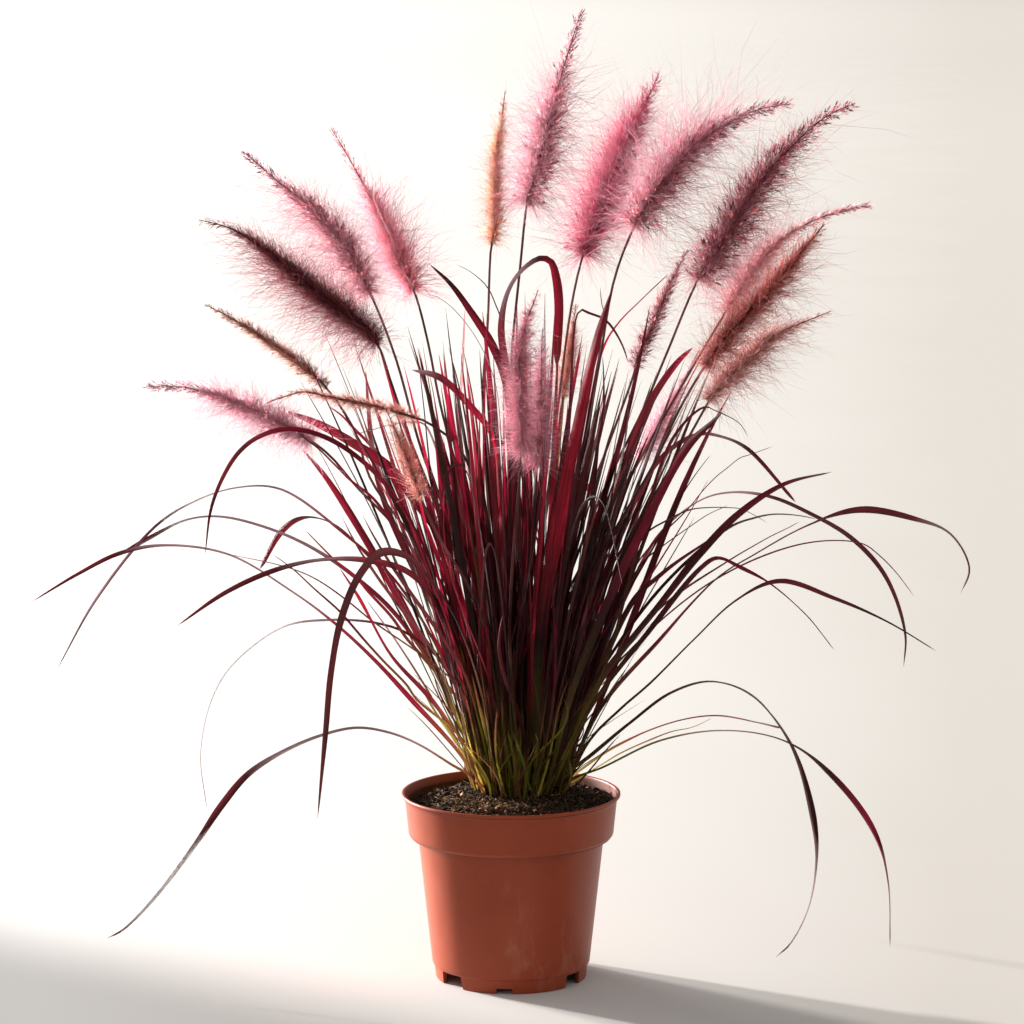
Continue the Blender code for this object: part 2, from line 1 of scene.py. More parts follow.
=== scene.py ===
"""A potted purple fountain grass clump: the looks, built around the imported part.

Metres, +Z up. Stems and leaves follow the part's own paths, so the tables below hold the same
routes: points (across, up) in millimetres on the upright plane through the pot's axis, as
seen from the front. A depth in millimetres says how far behind that plane the tip is.
"""
import math

import bmesh
import bpy
import numpy as np
from mathutils import Matrix, Vector


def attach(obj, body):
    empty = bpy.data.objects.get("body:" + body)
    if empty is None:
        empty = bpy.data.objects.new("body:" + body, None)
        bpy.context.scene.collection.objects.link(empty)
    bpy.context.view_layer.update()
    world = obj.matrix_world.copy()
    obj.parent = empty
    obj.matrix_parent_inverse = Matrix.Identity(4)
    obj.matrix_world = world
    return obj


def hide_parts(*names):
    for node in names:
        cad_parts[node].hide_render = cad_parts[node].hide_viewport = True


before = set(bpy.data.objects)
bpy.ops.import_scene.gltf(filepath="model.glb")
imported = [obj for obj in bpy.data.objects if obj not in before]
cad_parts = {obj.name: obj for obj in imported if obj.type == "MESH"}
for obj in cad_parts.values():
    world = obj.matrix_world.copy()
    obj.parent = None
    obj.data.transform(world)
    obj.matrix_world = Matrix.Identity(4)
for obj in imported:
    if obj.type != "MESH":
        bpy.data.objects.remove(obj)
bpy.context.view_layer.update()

MM = 0.001

# Where the photograph was taken from, and where the routes are seen from
VIEW_DISTANCE = 3.2
EYE_HEIGHT = 0.88
AIM_HEIGHT = 0.4083
CAMERA_ACROSS = 0.86 * MM
LENS = 132.5

# The studio's floor, and the even surround: colour and strength
FLOOR_SIZE = 400
SKY = (1.0, 0.985, 0.965, 1)
SKY_STRENGTH = 0.48

# Soft lights on the left that brighten the floor there: name, size, power, place, aim
GLOW_COLOUR = (1.0, 0.995, 0.985)
GLOWS = [
    ("near_glow", 3.0, 60, (-4.6, 2.6, 2.6), (0, 0, 0)),
    ("far_glow", 8.0, 700, (-12, 15, 7), (0, 9, 0)),
    ("farthest_glow", 26.0, 7500, (-40, 50, 23), (0, 45, 0)),
]

# Suns low behind on the left: name, strength, how wide each looks in degrees, direction to it
SUN_COLOUR = (1.0, 0.965, 0.92)
SUNS = [
    ("key", 4.8, 2.5, (-0.836, 0.548, 0.32)),
    ("low_key", 11.5, 6.0, (-0.767, 0.642, 0.088)),
]

# Linear colours of the pot, the floor, the peat and what lies on it, and the crown's pad
POT_DARK, POT_LIGHT = (0.288, 0.0460, 0.0155), (0.336, 0.058, 0.0220)
# The second of the next colours darkens the pot's inner face, as damp-soil stain and painted shade
POT_DUST, POT_STAIN_AND_SHADE, POT_SPECKS = (0.480, 0.230, 0.160), (0.060, 0.030, 0.020), (0.050, 0.032, 0.022)
# Floor colours: the lit left, and a darker right that is painted falloff of light
FLOOR_LIT_LEFT, FLOOR_PAINTED_FALLOFF_RIGHT = (0.850, 0.845, 0.835), (0.548, 0.524, 0.494)
PEAT, PEAT_GRAINS = (0.025, 0.0155, 0.0100), (0.230, 0.150, 0.085)
CRUMB, CHIP = np.array([0.027, 0.0145, 0.0085]), np.array([0.420, 0.240, 0.128])
CROWN_PAD = (0.020, 0.014, 0.008)

# Pot
RIM_RADIUS = 95 * MM
RIM_HEIGHT = 163 * MM
WALL = 1.9 * MM
FOOT_RADIUS = 65.5 * MM
FOOT_HEIGHT = 12.5 * MM
BODY_RADIUS_LOW = 68.6 * MM
BODY_RADIUS_HIGH = 80.6 * MM
BAND_HEIGHT_LOW = 124 * MM
BAND_HEIGHT_HIGH = 157 * MM
BAND_RADIUS_LOW = 89 * MM
BAND_RADIUS_HIGH = 92 * MM
LIP_DEPTH = 2.6 * MM
LIP_WIDTH = 2.6 * MM
FLOOR_THICKNESS = 2 * MM
FLOOR_UNDERSIDE = 11 * MM
FLOOR_MIDDLE = 20 * MM
FOOT_THICKNESS = 3 * MM
EDGE_ROUNDING = 0.9 * MM
POT_SIDES = 144
POT_SHARP_ANGLE = 38

# Notches in the foot ring: bearing from the front towards the right in degrees, width, height
NOTCHES = [
    (-51, 25 * MM, 11.5 * MM),
    (54, 18.5 * MM, 11.5 * MM),
    (172, 20 * MM, 11.5 * MM),
    (-5, 13.5 * MM, 5 * MM),
    (118, 14 * MM, 5 * MM),
    (-112, 14 * MM, 5 * MM),
]
NOTCH_CUT = 24 * MM
NOTCH_FLARE = 1.12

# Soil: heights, the heap over the crown in half sizes of the crown, how much higher the peat
# lies on the right, and the litter on it
SOIL_EDGE_HEIGHT = 150.5 * MM
MOUND_HEIGHT = 159.5 * MM
MOUND_RADIUS = 55 * MM
CROWN_COVER = 0.8 * MM
HEAP_TOP = 1.06
HEAP_EDGE = 1.36
RIGHT_RISE = 4.6 * MM
SOIL_SIDES = 180
SOIL_CLEARANCE = 0.6 * MM
CRUMBS = 3000
CHIPS = 800
FIBRES = 2500
LITTER_BEARING = -112
LITTER_SPREAD = 0.50
GAP = 0.3 * MM

# Crown
CROWN_MIDDLE = (8 * MM, 12 * MM)
CROWN_HALF = (42 * MM, 32 * MM)
CROWN_EDGE = 1.2 * MM
CROWN_RISE = 4 * MM
STEM_RADIUS = 1.3 * MM
PAD_SIDES = 40
PAD_RINGS = (0.12, 0.3, 0.5, 0.7, 0.86, 0.97, 1.0)
PAD_ROUGHNESS = 0.5 * MM

# Where stems and leaves stand, as shares of the way from the crown's middle to its edge
LEAVES_ON_CROWN = (0.84, 0.94)
STRAYS_ON_CROWN = 0.7
STEMS_ON_CROWN = (0.28, 0.48, 0.66)

# Paths: points of each, steps of a curve between two known points, how many points ahead the
# next known one is looked for, and what going up adds to the depth against going across
PATH_SAMPLES = 240
CURVE_STEPS = 24
SEARCH_AHEAD = 120
VERTICAL_SHARE = 0.15

# Blades: sections along a leaf and along a stray blade, and the angle that stays a sharp edge
LEAF_STEPS = 104
STRAY_STEPS = 90
SHARP_ANGLE = 60

# Flower stems: depth, route up to the plume, route along it
FLOWER_STEMS = [
    (60, [(-18, 297), (-46, 385), (-75, 457), (-99, 543), (-121, 599)],
     [(-145, 641), (-170, 669), (-197, 691), (-227, 717)]),
    (-120, [(-23, 297), (-54, 389), (-86, 470), (-102, 519), (-116, 557)],
     [(-135, 574), (-157, 591), (-185, 614), (-212, 636), (-239, 652), (-265, 659)]),
    (170, [(-35, 297), (-78, 376), (-120, 436), (-134, 479), (-155, 512)],
     [(-169, 527), (-194, 546), (-235, 573), (-260, 587)]),
    (-40, [(-42, 297), (-91, 385), (-134, 432), (-155, 457), (-177, 474)],
     [(-208, 490), (-236, 503), (-264, 513), (-291, 517), (-313, 516)]),
    (137, [(-12, 297), (-35, 402), (-60, 499), (-71, 555), (-82, 597)],
     [(-99, 633), (-112, 664), (-126, 691), (-140, 716), (-152, 736)]),
    (-161, [(-9, 297), (-20, 402), (-45, 465), (-57, 476), (-76, 488)],
     [(-86, 491), (-113, 499), (-157, 508), (-177, 512), (-208, 503)]),
    (-206, [(-9, 280), (-35, 341), (-61, 385), (-79, 425)],
     [(-86, 447), (-97, 474), (-107, 498)]),
    (240, [(-9, 297), (-20, 419), (-24, 513), (-20, 568), (-17, 636)],
     [(-14, 652), (-13, 708), (-9, 735), (-5, 768)]),
    (70, [(1, 297), (-1, 419), (0, 533), (8, 621), (14, 675)],
     [(21, 699), (35, 754), (51, 809), (60, 836)]),
    (295, [(16, 297), (33, 437), (51, 583), (60, 625)],
     [(67, 647), (86, 702), (97, 727), (112, 754), (125, 783)]),
    (99, [(29, 297), (55, 419), (76, 541), (88, 609), (104, 652)],
     [(117, 675), (134, 699), (150, 719), (169, 732), (191, 745), (213, 753), (236, 757)]),
    (68, [(34, 297), (76, 419), (113, 497), (132, 543), (162, 614)],
     [(178, 636), (211, 691), (230, 713), (249, 732), (271, 749), (291, 757)]),
    (-170, [(42, 297), (85, 385), (123, 451), (144, 497), (168, 538)],
     [(187, 563), (229, 610), (266, 655)]),
    (193, [(42, 289), (93, 419), (144, 514), (179, 574)],
     [(196, 602), (223, 636), (250, 655), (278, 666), (304, 671)]),
    (-89, [(47, 289), (111, 402), (152, 473), (173, 510)],
     [(185, 524), (218, 555), (234, 565), (272, 581)]),
    (222, [(29, 297), (59, 402), (85, 471), (105, 528)],
     [(108, 541), (123, 574), (132, 597), (150, 634)]),
    (-266, [(-1, 297), (3, 385), (9, 462)],
     [(8, 499), (9, 555), (23, 599)]),
    (-110, [(9, 297), (18, 385), (23, 457)],
     [(25, 499), (26, 541), (27, 566)]),
    (290, [(15, 297), (32, 419), (44, 504)],
     [(45, 519), (49, 538), (55, 587)]),
    (164, [(29, 289), (68, 376), (110, 454)],
     [(123, 476), (138, 504), (161, 549)]),
]

# Plume of each stem: half width where it is dense and reach of its long bristles in
# millimetres, colours of its heart, of its body and of its long bristles, angle of the bristles
# to the axis in degrees, how clearly its spikelets stand apart, the share of its length that
# stays thin at the tip, and the side (across, up) that the bristles reach out to
PLUMES = [
    (13, 50, 0x785058, 0xCEA0A4, 0xC47E85, 54, 1.0, 0.32, (-0.6, -0.7)),
    (13, 44, 0x3C150A, 0x622812, 0xA85C64, 36, 0.12, 0.26, (-0.4, -0.9)),
    (9, 16, 0x5E2E24, 0xA66C58, 0xA87460, 30, 0.2, 0.16, (0.3, 0.4)),
    (13, 42, 0x8A6066, 0xDCB4B8, 0xC8969C, 54, 1.0, 0.32, (0.0, -0.5)),
    (16, 42, 0xA46068, 0xE0A6A8, 0xC89097, 50, 0.5, 0.42, (0.6, 0.4)),
    (6, 13, 0x8A5048, 0xBA8476, 0xB48072, 32, 0.2, 0.22, (0.0, -0.8)),
    (9, 16, 0xA86058, 0xC89888, 0xC09080, 34, 0.2, 0.24, (-0.3, 0.0)),
    (11, 24, 0xA4644C, 0xBE8C68, 0xB88074, 44, 0.15, 0.20, (0.0, 0.0)),
    (18, 46, 0x7E5058, 0xCE9A9E, 0xB87681, 66, 1.0, 0.34, (0.4, 0.2)),
    (26, 48, 0x8E3646, 0xAE5062, 0xB26C78, 56, 0.6, 0.20, (-0.1, 0.0)),
    (19, 58, 0x6A3C44, 0xC08488, 0xB6747E, 54, 1.0, 0.34, (0.1, 0.8)),
    (22, 46, 0x66303A, 0xB87478, 0xAE686E, 58, 1.0, 0.28, (0.4, -0.3)),
    (14, 36, 0x78302A, 0xC66C62, 0xAE6C64, 38, 0.15, 0.16, (0.6, -0.7)),
    (7, 34, 0xA66E70, 0xD4A6A4, 0xC0888A, 48, 1.0, 0.50, (-0.2, 0.6)),
    (12, 34, 0x925850, 0xD4A096, 0xBA8A82, 40, 0.2, 0.28, (0.5, -0.7)),
    (8, 18, 0x5E2E32, 0x9C6064, 0xA46868, 32, 0.4, 0.20, (0.3, -0.3)),
    (15, 28, 0xA8707A, 0xCC9094, 0xBC7E88, 72, 0.2, 0.26, (0.0, 0.0)),
    (17, 27, 0xA06A74, 0xC4888E, 0xB87882, 74, 0.2, 0.22, (0.0, 0.0)),
    (9, 20, 0x884A42, 0xAC7262, 0xA87064, 40, 0.2, 0.24, (0.0, 0.0)),
    (9, 24, 0xB07078, 0xCC9CA2, 0xC4929A, 46, 0.3, 0.36, (0.4, -0.3)),
]
CLUMP_LENGTH = 5.5 * MM
CLUMPS_AROUND = 7

# How far below the start of its route a plume begins, in millimetres
PLUME_DROPS = {10: 25, 12: 12}
USUAL_DROP = 7

# Stem: radii at the root, half way to the plume, under it and at the tip, and its tints by height
STEM_RADII = (1.45 * MM, 1.3 * MM, 1.05 * MM, 0.32 * MM)
STEM_SIDES = 7
STEM_COLOURS = "gods"
STEM_COLOUR_HEIGHTS = (0.18, 0.23, 0.32, 0.45)

# Spikelets and short bristles: how many a millimetre, and how many more on a fully parted plume
SPIKELETS_PER_MM = (0.8, 2.1)
BRISTLES_PER_MM = (20, -15)
BRISTLES_FOR_HALF_WIDTH = 12 * MM
BRISTLES_PER_SPIKELET = 7
BRISTLE_RADIUS = 0.15 * MM
SPRAY_RADIUS = BRISTLE_RADIUS * 1.15
SPIKELET_MM = (4.0, 7.2)
SPIKELET_SLIMNESS = (0.080, 0.115)
BODY_LIFT = np.array([1.57, 1.61, 1.54])

# On the thin tip: the share of the spikelets that is kept there, and their shade
TIP_SHARE_KEPT = 0.75
TIP_SHADE = 0.68

# Fine hairs: how many a millimetre, by how much fewer on a parted plume, least and most share of
# the reach beyond the body, how strongly they keep to the full part, radius in mm, rings. Then
# the reach that those numbers are for, the longest in reaches, and how far they bend
HAIRS = ((5.8, 0.45, 0.10, 0.65, 1.0, 0.155, 2), (5.0, 0.0, 0.40, 1.25, 1.1, 0.165, 3))
HAIRS_FOR_REACH = 24 * MM
HAIR_LONGEST = 1.25
HAIR_BEND = 0.42
HAIR_BEND_LIMIT = 0.7

# Colours along a leaf, by letter
BLADE_COLOURS = {
    "l": 0x9A9A42,
    "g": 0x6E7428,
    "o": 0x564222,
    "k": 0x2E1816,
    "d": 0x381416,
    "m": 0x521A20,
    "r": 0x6C1526,
    "b": 0x7E1A2A,
    "c": 0x76122A,
    # v: a painted backlit glow, the vivid crimson of light shining through a leaf
    "v": 0xA01C34,
    # y: a painted grey sheen, the look of light reflected off a glossy leaf's arch
    "y": 0x756A66,
    "t": 0x6A4C30,
    "s": 0x442622,
}

# Leaves: depth, route, the width that shows at each point of it, and the colour there
LEAVES = [
    (-30, [(-29, 172), (-52, 187), (-81, 205), (-106, 215), (-134, 219), (-165, 212), (-199, 197),
      (-228, 178), (-251, 151), (-274, 116), (-312, 66), (-338, 40), (-353, 32)],
     (2.6, 1.9, 1.2, 1.5, 1.2, 1.5, 2.2, 4.8, 6.4, 3.3, 2.1, 1.5, 0.5), "ooyyyyyddddmm"),
    (130, [(-35, 245), (-84, 299), (-114, 311), (-159, 314), (-196, 308), (-239, 276), (-258, 246),
      (-269, 197), (-264, 147)],
     (2.6, 2.1, 1.7, 1.9, 1.5, 1.9, 1.7, 1, 0.5), "odmyyyyym"),
    (-272, [(-27, 254), (-48, 315), (-70, 349), (-89, 369), (-112, 373), (-131, 353), (-147, 314),
      (-156, 268), (-161, 215), (-168, 139)],
     (4.3, 5.1, 6, 6.4, 6.4, 6.2, 5.6, 6.7, 6, 0.7), "okkkkkkdkd"),
    (-158, [(-35, 254), (-61, 324), (-89, 356), (-124, 366), (-165, 366), (-201, 358), (-244, 339),
      (-288, 309)],
     (4.3, 5.1, 5.6, 5.1, 1.3, 3.3, 3.2, 0.7), "oddmyddm"),
    (-105, [(-40, 190), (-87, 245), (-117, 278), (-151, 310), (-189, 339), (-243, 371), (-298, 379),
      (-337, 372), (-373, 354), (-413, 330)],
     (3, 4.7, 3.3, 2.6, 1.2, 1.5, 1.4, 3.6, 2.5, 0.7), "ormmyyydmd"),
    (81, [(-44, 245), (-96, 344), (-143, 389), (-198, 428), (-236, 429), (-272, 417), (-305, 396),
      (-356, 334), (-392, 271)],
     (2.4, 2.1, 1.9, 1.5, 1, 1.5, 2.6, 2.8, 0.7), "odmyyydyd"),
    (200, [(-48, 236), (-96, 315), (-136, 353), (-175, 379), (-215, 396), (-251, 404), (-279, 401),
      (-312, 385), (-336, 371)],
     (3.4, 3.4, 2.4, 1.4, 1.3, 1.3, 1.7, 4.6, 3.4), "ommyyydmd"),
    (-102, [(-35, 254), (-70, 367), (-112, 437), (-155, 471), (-189, 480), (-214, 474), (-231, 462),
      (-245, 442), (-257, 412), (-263, 371)],
     (3.4, 3, 4.3, 4.3, 3.9, 3, 3, 3.4, 1.9, 0.7), "ommrrmdmdm"),
    (240, [(-40, 245), (-78, 315), (-121, 367), (-155, 399), (-178, 403), (-196, 393), (-216, 359)],
     (3.4, 3.4, 2.6, 1.9, 2.2, 6.4, 3.2), "odmmdrr"),
    (-145, [(-44, 209), (-70, 245), (-104, 283), (-131, 333), (-147, 359)],
     (3.4, 5.6, 4.7, 4.5, 1), "ommbr"),
    (150, [(-53, 245), (-78, 297), (-122, 380), (-159, 439), (-179, 463)],
     (4.3, 3.9, 6.9, 4.7, 1.3), "omrbr"),
    (13, [(-27, 297), (-44, 359), (-82, 418), (-105, 447), (-134, 467), (-164, 484), (-194, 496)],
     (4.3, 5.1, 8.6, 8.6, 7.7, 6.9, 1.7), "ddmrmrm"),
    (210, [(-53, 297), (-87, 367), (-105, 408), (-115, 441), (-120, 480), (-124, 531)],
     (2.6, 4.3, 5.1, 6, 6, 1.7), "odmrbb"),
    (-109, [(-9, 297), (-9, 367), (-11, 419), (-17, 474), (-37, 501), (-61, 524), (-85, 531)],
     (4.3, 5.1, 6, 8.6, 8.6, 7.3, 1.3), "dbvvrmy"),
    (140, [(-18, 297), (-35, 402), (-45, 491), (-42, 520), (-39, 584)],
     (3.4, 4.3, 5.1, 5.1, 2.1), "dmvvb"),
    (76, [(-1, 297), (1, 437), (-3, 516), (-14, 549), (-32, 578), (-51, 604), (-70, 622)],
     (5.1, 6.9, 7.7, 7.9, 6.7, 3.3, 0.9), "dbbrrdm"),
    (9, [(3, 297), (1, 437), (-3, 520), (-9, 568), (-3, 599), (9, 617), (25, 627), (34, 624), (39, 608),
      (41, 587), (40, 553), (39, 533)],
     (4.3, 5.1, 6, 6.7, 3, 4.1, 4.3, 6, 7.9, 7.9, 7.3, 4.3), "ddmmyykrbbbr"),
    (-157, [(25, 297), (42, 402), (55, 480), (73, 558), (86, 600)],
     (2.6, 4.4, 11.0, 9.9, 2.1), "dvvbm"),
    (155, [(25, 297), (59, 454), (79, 549), (91, 570), (111, 591), (134, 613)],
     (3.4, 4.3, 5.1, 3.3, 1.9, 1), "ddrrrm"),
    (33, [(42, 297), (85, 419), (120, 504), (142, 537), (155, 550)],
     (4.3, 6, 6.9, 6, 2.1), "ddmrm"),
    (-226, [(51, 245), (81, 324), (113, 393), (151, 465), (172, 486), (181, 495)],
     (2.6, 3.4, 5.2, 7.2, 3, 2.2), "odcrmy"),
    (88, [(51, 254), (94, 385), (128, 454), (160, 475), (180, 473), (202, 463), (244, 417)],
     (3.4, 4.3, 5.1, 4.7, 1.5, 3.4, 2.6), "odmmydd"),
    (-160, [(68, 245), (132, 332), (164, 374), (195, 406), (234, 432), (275, 443)],
     (4.3, 3.4, 6.4, 5.1, 3.2, 0.8), "omdmry"),
    (167, [(60, 245), (98, 332), (128, 389), (164, 419), (191, 425), (223, 421), (254, 408), (293, 385),
      (323, 351), (340, 302), (339, 273)],
     (3.4, 4.7, 3.9, 1.7, 2.6, 3.2, 3.0, 3.8, 3.7, 2.2, 0.9), "omdyykkkdkd"),
    (60, [(77, 236), (129, 297), (178, 351), (209, 371), (254, 396), (300, 410), (346, 402), (377, 389),
      (394, 359), (387, 337)],
     (4.3, 4.5, 1.7, 1.7, 1.3, 6.9, 5.1, 1.1, 1, 0.9), "omdddddymy"),
    (-238, [(68, 236), (120, 306), (163, 359), (177, 368), (197, 360), (224, 345), (255, 318), (279, 288)],
     (3.4, 4.3, 2.6, 3, 4.7, 2.6, 1.3, 0.7), "odmrbbrm"),
    (16, [(68, 208), (95, 236), (121, 259), (158, 297), (194, 331), (231, 348), (278, 333), (325, 312),
      (367, 287)],
     (2.6, 2.6, 2.6, 1.5, 2.0, 4.9, 3.9, 1.7, 0.7), "odddddddm"),
    (-90, [(48, 178), (68, 194), (104, 224), (139, 250), (174, 260), (209, 247), (242, 204), (262, 140),
      (265, 99), (259, 59), (244, 28), (231, 15)],
     (2.6, 3.4, 1.7, 2.1, 1.7, 1.7, 5.6, 7.6, 4.1, 1.5, 1.5, 0.7), "godmyyddmmmy"),
    (-76, [(50, 172), (79, 184), (130, 208), (184, 217), (236, 208), (277, 178), (314, 130), (328, 84),
      (331, 24)],
     (2.6, 1.9, 2.1, 1, 1.7, 6, 6, 1.3, 0.7), "gggyydrmy"),
    (190, [(50, 175), (89, 202), (139, 224), (177, 230), (213, 224), (235, 219)],
     (3, 3.1, 1.7, 1.7, 1.1, 2.1), "gommyd"),
]
LEAF_REAL_WIDTH = 1.08
LEAF_ROOT_WIDTH = 2.4

# Leaves that show their other face
TURNED_OVER = (9,)

# Leaves that arch back or forward: bearing, reach, top, tip, width, colours. Then shares of the
# width along them, and points of the arch as shares of its reach and of its height
ROUND_LEAVES = [
    (74, 290, 400, 190, 7.0, "kmrry"),
    (88, 306, 350, 120, 8.0, "kmmry"),
    (104, 280, 430, 230, 6.4, "kdrry"),
    (-74, 290, 455, 390, 3.0, "kkkkk"),
    (-96, 330, 420, 330, 2.6, "kkkkk"),
    (-106, 250, 480, 430, 3.0, "kkkdd"),
]
ROUND_MARKS = (0, 0.25, 0.5, 0.7, 0.85, 1)
ROUND_WIDTHS = (0.4, 0.6, 0.95, 1, 0.7, 0.1)
ARCH = ((0.30, 0.62), (0.58, 0.94), (0.80, 0.97))

# Thin stray blades: depth, width that shows, colours from the root to the tip, route
STRAYS = [
    (-60, 1.4, "gody",
     [(-37, 245), (-123, 316), (-141, 331), (-160, 345), (-176, 354), (-199, 362), (-245, 372)]),
    (30, 2.6, "gomr",
     [(-35, 227), (-79, 285), (-90, 298), (-103, 317), (-123, 339), (-134, 352), (-149, 364),
      (-162, 377), (-176, 392)]),
    (-20, 2.1, "godd",
     [(-42, 209), (-82, 245), (-90, 257), (-110, 278), (-126, 296), (-141, 314), (-149, 323),
      (-169, 341), (-188, 359), (-204, 371)]),
    (60, 1.7, "goy",
     [(-46, 205), (-73, 254), (-100, 297), (-124, 331)]),
    (-40, 3.4, "gddr",
     [(-53, 297), (-87, 372), (-115, 416), (-124, 425), (-137, 435), (-153, 451), (-166, 464),
      (-181, 475)]),
    (90, 3.9, "gdmr",
     [(-53, 297), (-87, 402), (-110, 453), (-122, 468), (-133, 479), (-144, 491), (-156, 500)]),
    (120, 1.5, "gdmm",
     [(-3, 297), (-6, 489), (-9, 576), (-12, 584), (-19, 600), (-27, 609), (-38, 617), (-47, 621)]),
    (-70, 1.9, "gddy",
     [(-3, 297), (-7, 437), (-12, 513), (-17, 531), (-23, 546), (-32, 562), (-40, 573), (-51, 585),
      (-62, 593), (-72, 596)]),
    (100, 1.9, "gdyy",
     [(-27, 297), (-52, 419), (-74, 484), (-82, 486), (-102, 484), (-116, 480), (-139, 474)]),
    (40, 3.8, "gddd",
     [(32, 297), (50, 489), (59, 582), (67, 579), (76, 576), (83, 571), (89, 563), (95, 552),
      (98, 544), (100, 537)]),
    (-20, 2.6, "gddd",
     [(42, 297), (74, 463), (79, 497), (79, 528), (78, 543)]),
    (20, 2.2, "gddd",
     [(32, 297), (66, 489), (79, 580), (77, 589), (76, 602)]),
    (-180, 2.7, "gomm",
     [(77, 262), (138, 471), (166, 499), (174, 496), (191, 488), (198, 482), (202, 474)]),
    (-50, 4.6, "gomr",
     [(60, 227), (106, 332), (126, 351), (142, 364), (159, 376), (173, 386)]),
    (110, 1.7, "gddm",
     [(68, 245), (163, 341), (248, 380), (301, 381), (316, 371), (331, 356), (347, 335)]),
    (-130, 2.6, "gddy",
     [(64, 245), (128, 341), (188, 395), (209, 403), (223, 406), (239, 406), (254, 404), (262, 402)]),
    (20, 2.1, "gomr",
     [(64, 245), (128, 324), (186, 365), (209, 379), (223, 387), (239, 395), (248, 400)]),
    (80, 1.7, "gddm",
     [(55, 254), (111, 367), (153, 412), (164, 426), (175, 438), (186, 447), (196, 455), (205, 458),
      (224, 465)]),
    (-30, 1.7, "gddd",
     [(55, 254), (102, 341), (136, 402), (148, 425), (159, 442), (171, 458)]),
    (-90, 1.7, "gddy",
     [(55, 254), (94, 359), (115, 389), (136, 402), (153, 410), (169, 412), (186, 412), (197, 411),
      (208, 406), (220, 399)]),
    (50, 1.9, "godd",
     [(55, 245), (94, 332), (115, 366), (131, 379), (153, 395), (169, 406), (186, 414)]),
    (70, 1.5, "ggoy",
     [(48, 169), (77, 186), (95, 197), (121, 209), (139, 216), (157, 220), (174, 228)]),
]

# What grows close on the crown: how many, how far out on it, heights, thickness in mm
INNER_KINDS = {
    "sheath": (130, 1.0, (0.040, 0.12), 1.9),
    "blade": (262, 0.95, (0.15, 0.40), 0.6),
    "core": (45, 0.8, (0.28, 0.43), 0.6),
    "dry": (44, 1.0, (0.04, 0.15), 0.8),
}
INNER_WIDTHS = {"blade": (2.0, 2.6, 3.2, 4.0, 5.2), "core": (3.6, 4.6, 5.6, 6.6)}
SHEATH_WIDTH = (1.7 * MM, 3.3 * MM)
DRY_WIDTH_SHARE = 0.5

# Their colours, by letter, and their outlines: share of the width at shares of the length
INNER_TOPS = "kkkkkksddddddmmmrbs"
# Redder tops for blades that lean towards the lights: a painted sunlit glow
INNER_PAINTED_SUNLIT_TOPS = "mmrrbc"
INNER_FEET = ["go", "go", "os", "ok"]
SHEATH_COLOURS = ("lgo", "lgo", "llg", "lgo", "ggo", "gos", "gos", "ood", "oss", "oss", "okk", "tos")
INNER_STEPS = 18
INNER_MARKS = (0, 0.15, 0.4, 0.75, 0.93, 1)
SHORT_OUTLINE = (0.9, 1.0, 1.0, 0.8, 0.4, 0.05)
BLADE_OUTLINE = (0.55, 0.62, 1, 0.90, 0.44, 0.05)

# The faces of a small eight-faced form: four corners round it, then its two ends
EIGHT_FACES = [(0, 1, 4), (1, 2, 4), (2, 3, 4), (3, 0, 4), (1, 0, 5), (2, 1, 5), (3, 2, 5), (0, 3, 5)]


def tone(code):
    """The linear red, green and blue of a colour written as 0xRRGGBB."""
    share = np.array([code >> 16, code >> 8 & 255, code & 255]) / 255
    return np.where(share < 0.04045, share / 12.92, ((share + 0.055) / 1.055) ** 2.4)


def letter_tones(letters):
    return np.array([tone(BLADE_COLOURS[letter]) for letter in letters])


def between(where, marks, rows):
    """The rows of values that are given at marks, interpolated at the places in where."""
    return np.column_stack([np.interp(where, marks, column) for column in rows.T])


def smooth_curve(points, count):
    """Evenly spaced points on the centripetal Catmull-Rom curve through the given points."""
    known = np.array(points, float)
    known = np.vstack([2 * known[0] - known[1], known, 2 * known[-1] - known[-2]])
    traced = []
    for a, b, c, d in zip(known, known[1:], known[2:], known[3:]):
        t1 = math.sqrt(np.linalg.norm(b - a))
        t2 = t1 + math.sqrt(np.linalg.norm(c - b))
        t3 = t2 + math.sqrt(np.linalg.norm(d - c))
        for t in np.linspace(t1, t2, CURVE_STEPS, endpoint=False):
            ab = a + (b - a) * t / t1
            bc = b + (c - b) * (t - t1) / (t2 - t1)
            cd = c + (d - c) * (t - t2) / (t3 - t2)
            abc = ab + (bc - ab) * t / t2
            bcd = bc + (cd - bc) * (t - t1) / (t3 - t1)
            traced.append(abc + (bcd - abc) * (t - t1) / (t2 - t1))
    traced.append(known[-2])
    return along(np.array(traced), np.linspace(0, 1, count))


def along(path, shares):
    """Points of a path at the given shares of its length."""
    return between(shares, shares_of(path), path)


def shares_of(path):
    """The share of a path's length at each of its points."""
    steps = np.linalg.norm(np.diff(path, axis=0), axis=1)
    return np.concatenate([[0.0], np.cumsum(steps)]) / steps.sum()


def length_of(path):
    return np.linalg.norm(np.diff(path, axis=0), axis=1).sum()


def crown_height(ring):
    """The height of the crown at a share of its half sizes from its middle."""
    return MOUND_HEIGHT + GAP + CROWN_EDGE + CROWN_RISE * (1 - ring ** 2)


def root_on_crown(tip, ring, half_width):
    """Where a piece that ends above or beside tip leaves the crown, just clear of its surface."""
    lean = np.array(tip[:2]) - CROWN_MIDDLE
    lean /= np.linalg.norm(lean)
    place = np.array(CROWN_MIDDLE) + lean * CROWN_HALF * ring
    inner = max(0.0, ring - half_width / min(CROWN_HALF))
    return np.array([*place, crown_height(inner) + GAP])


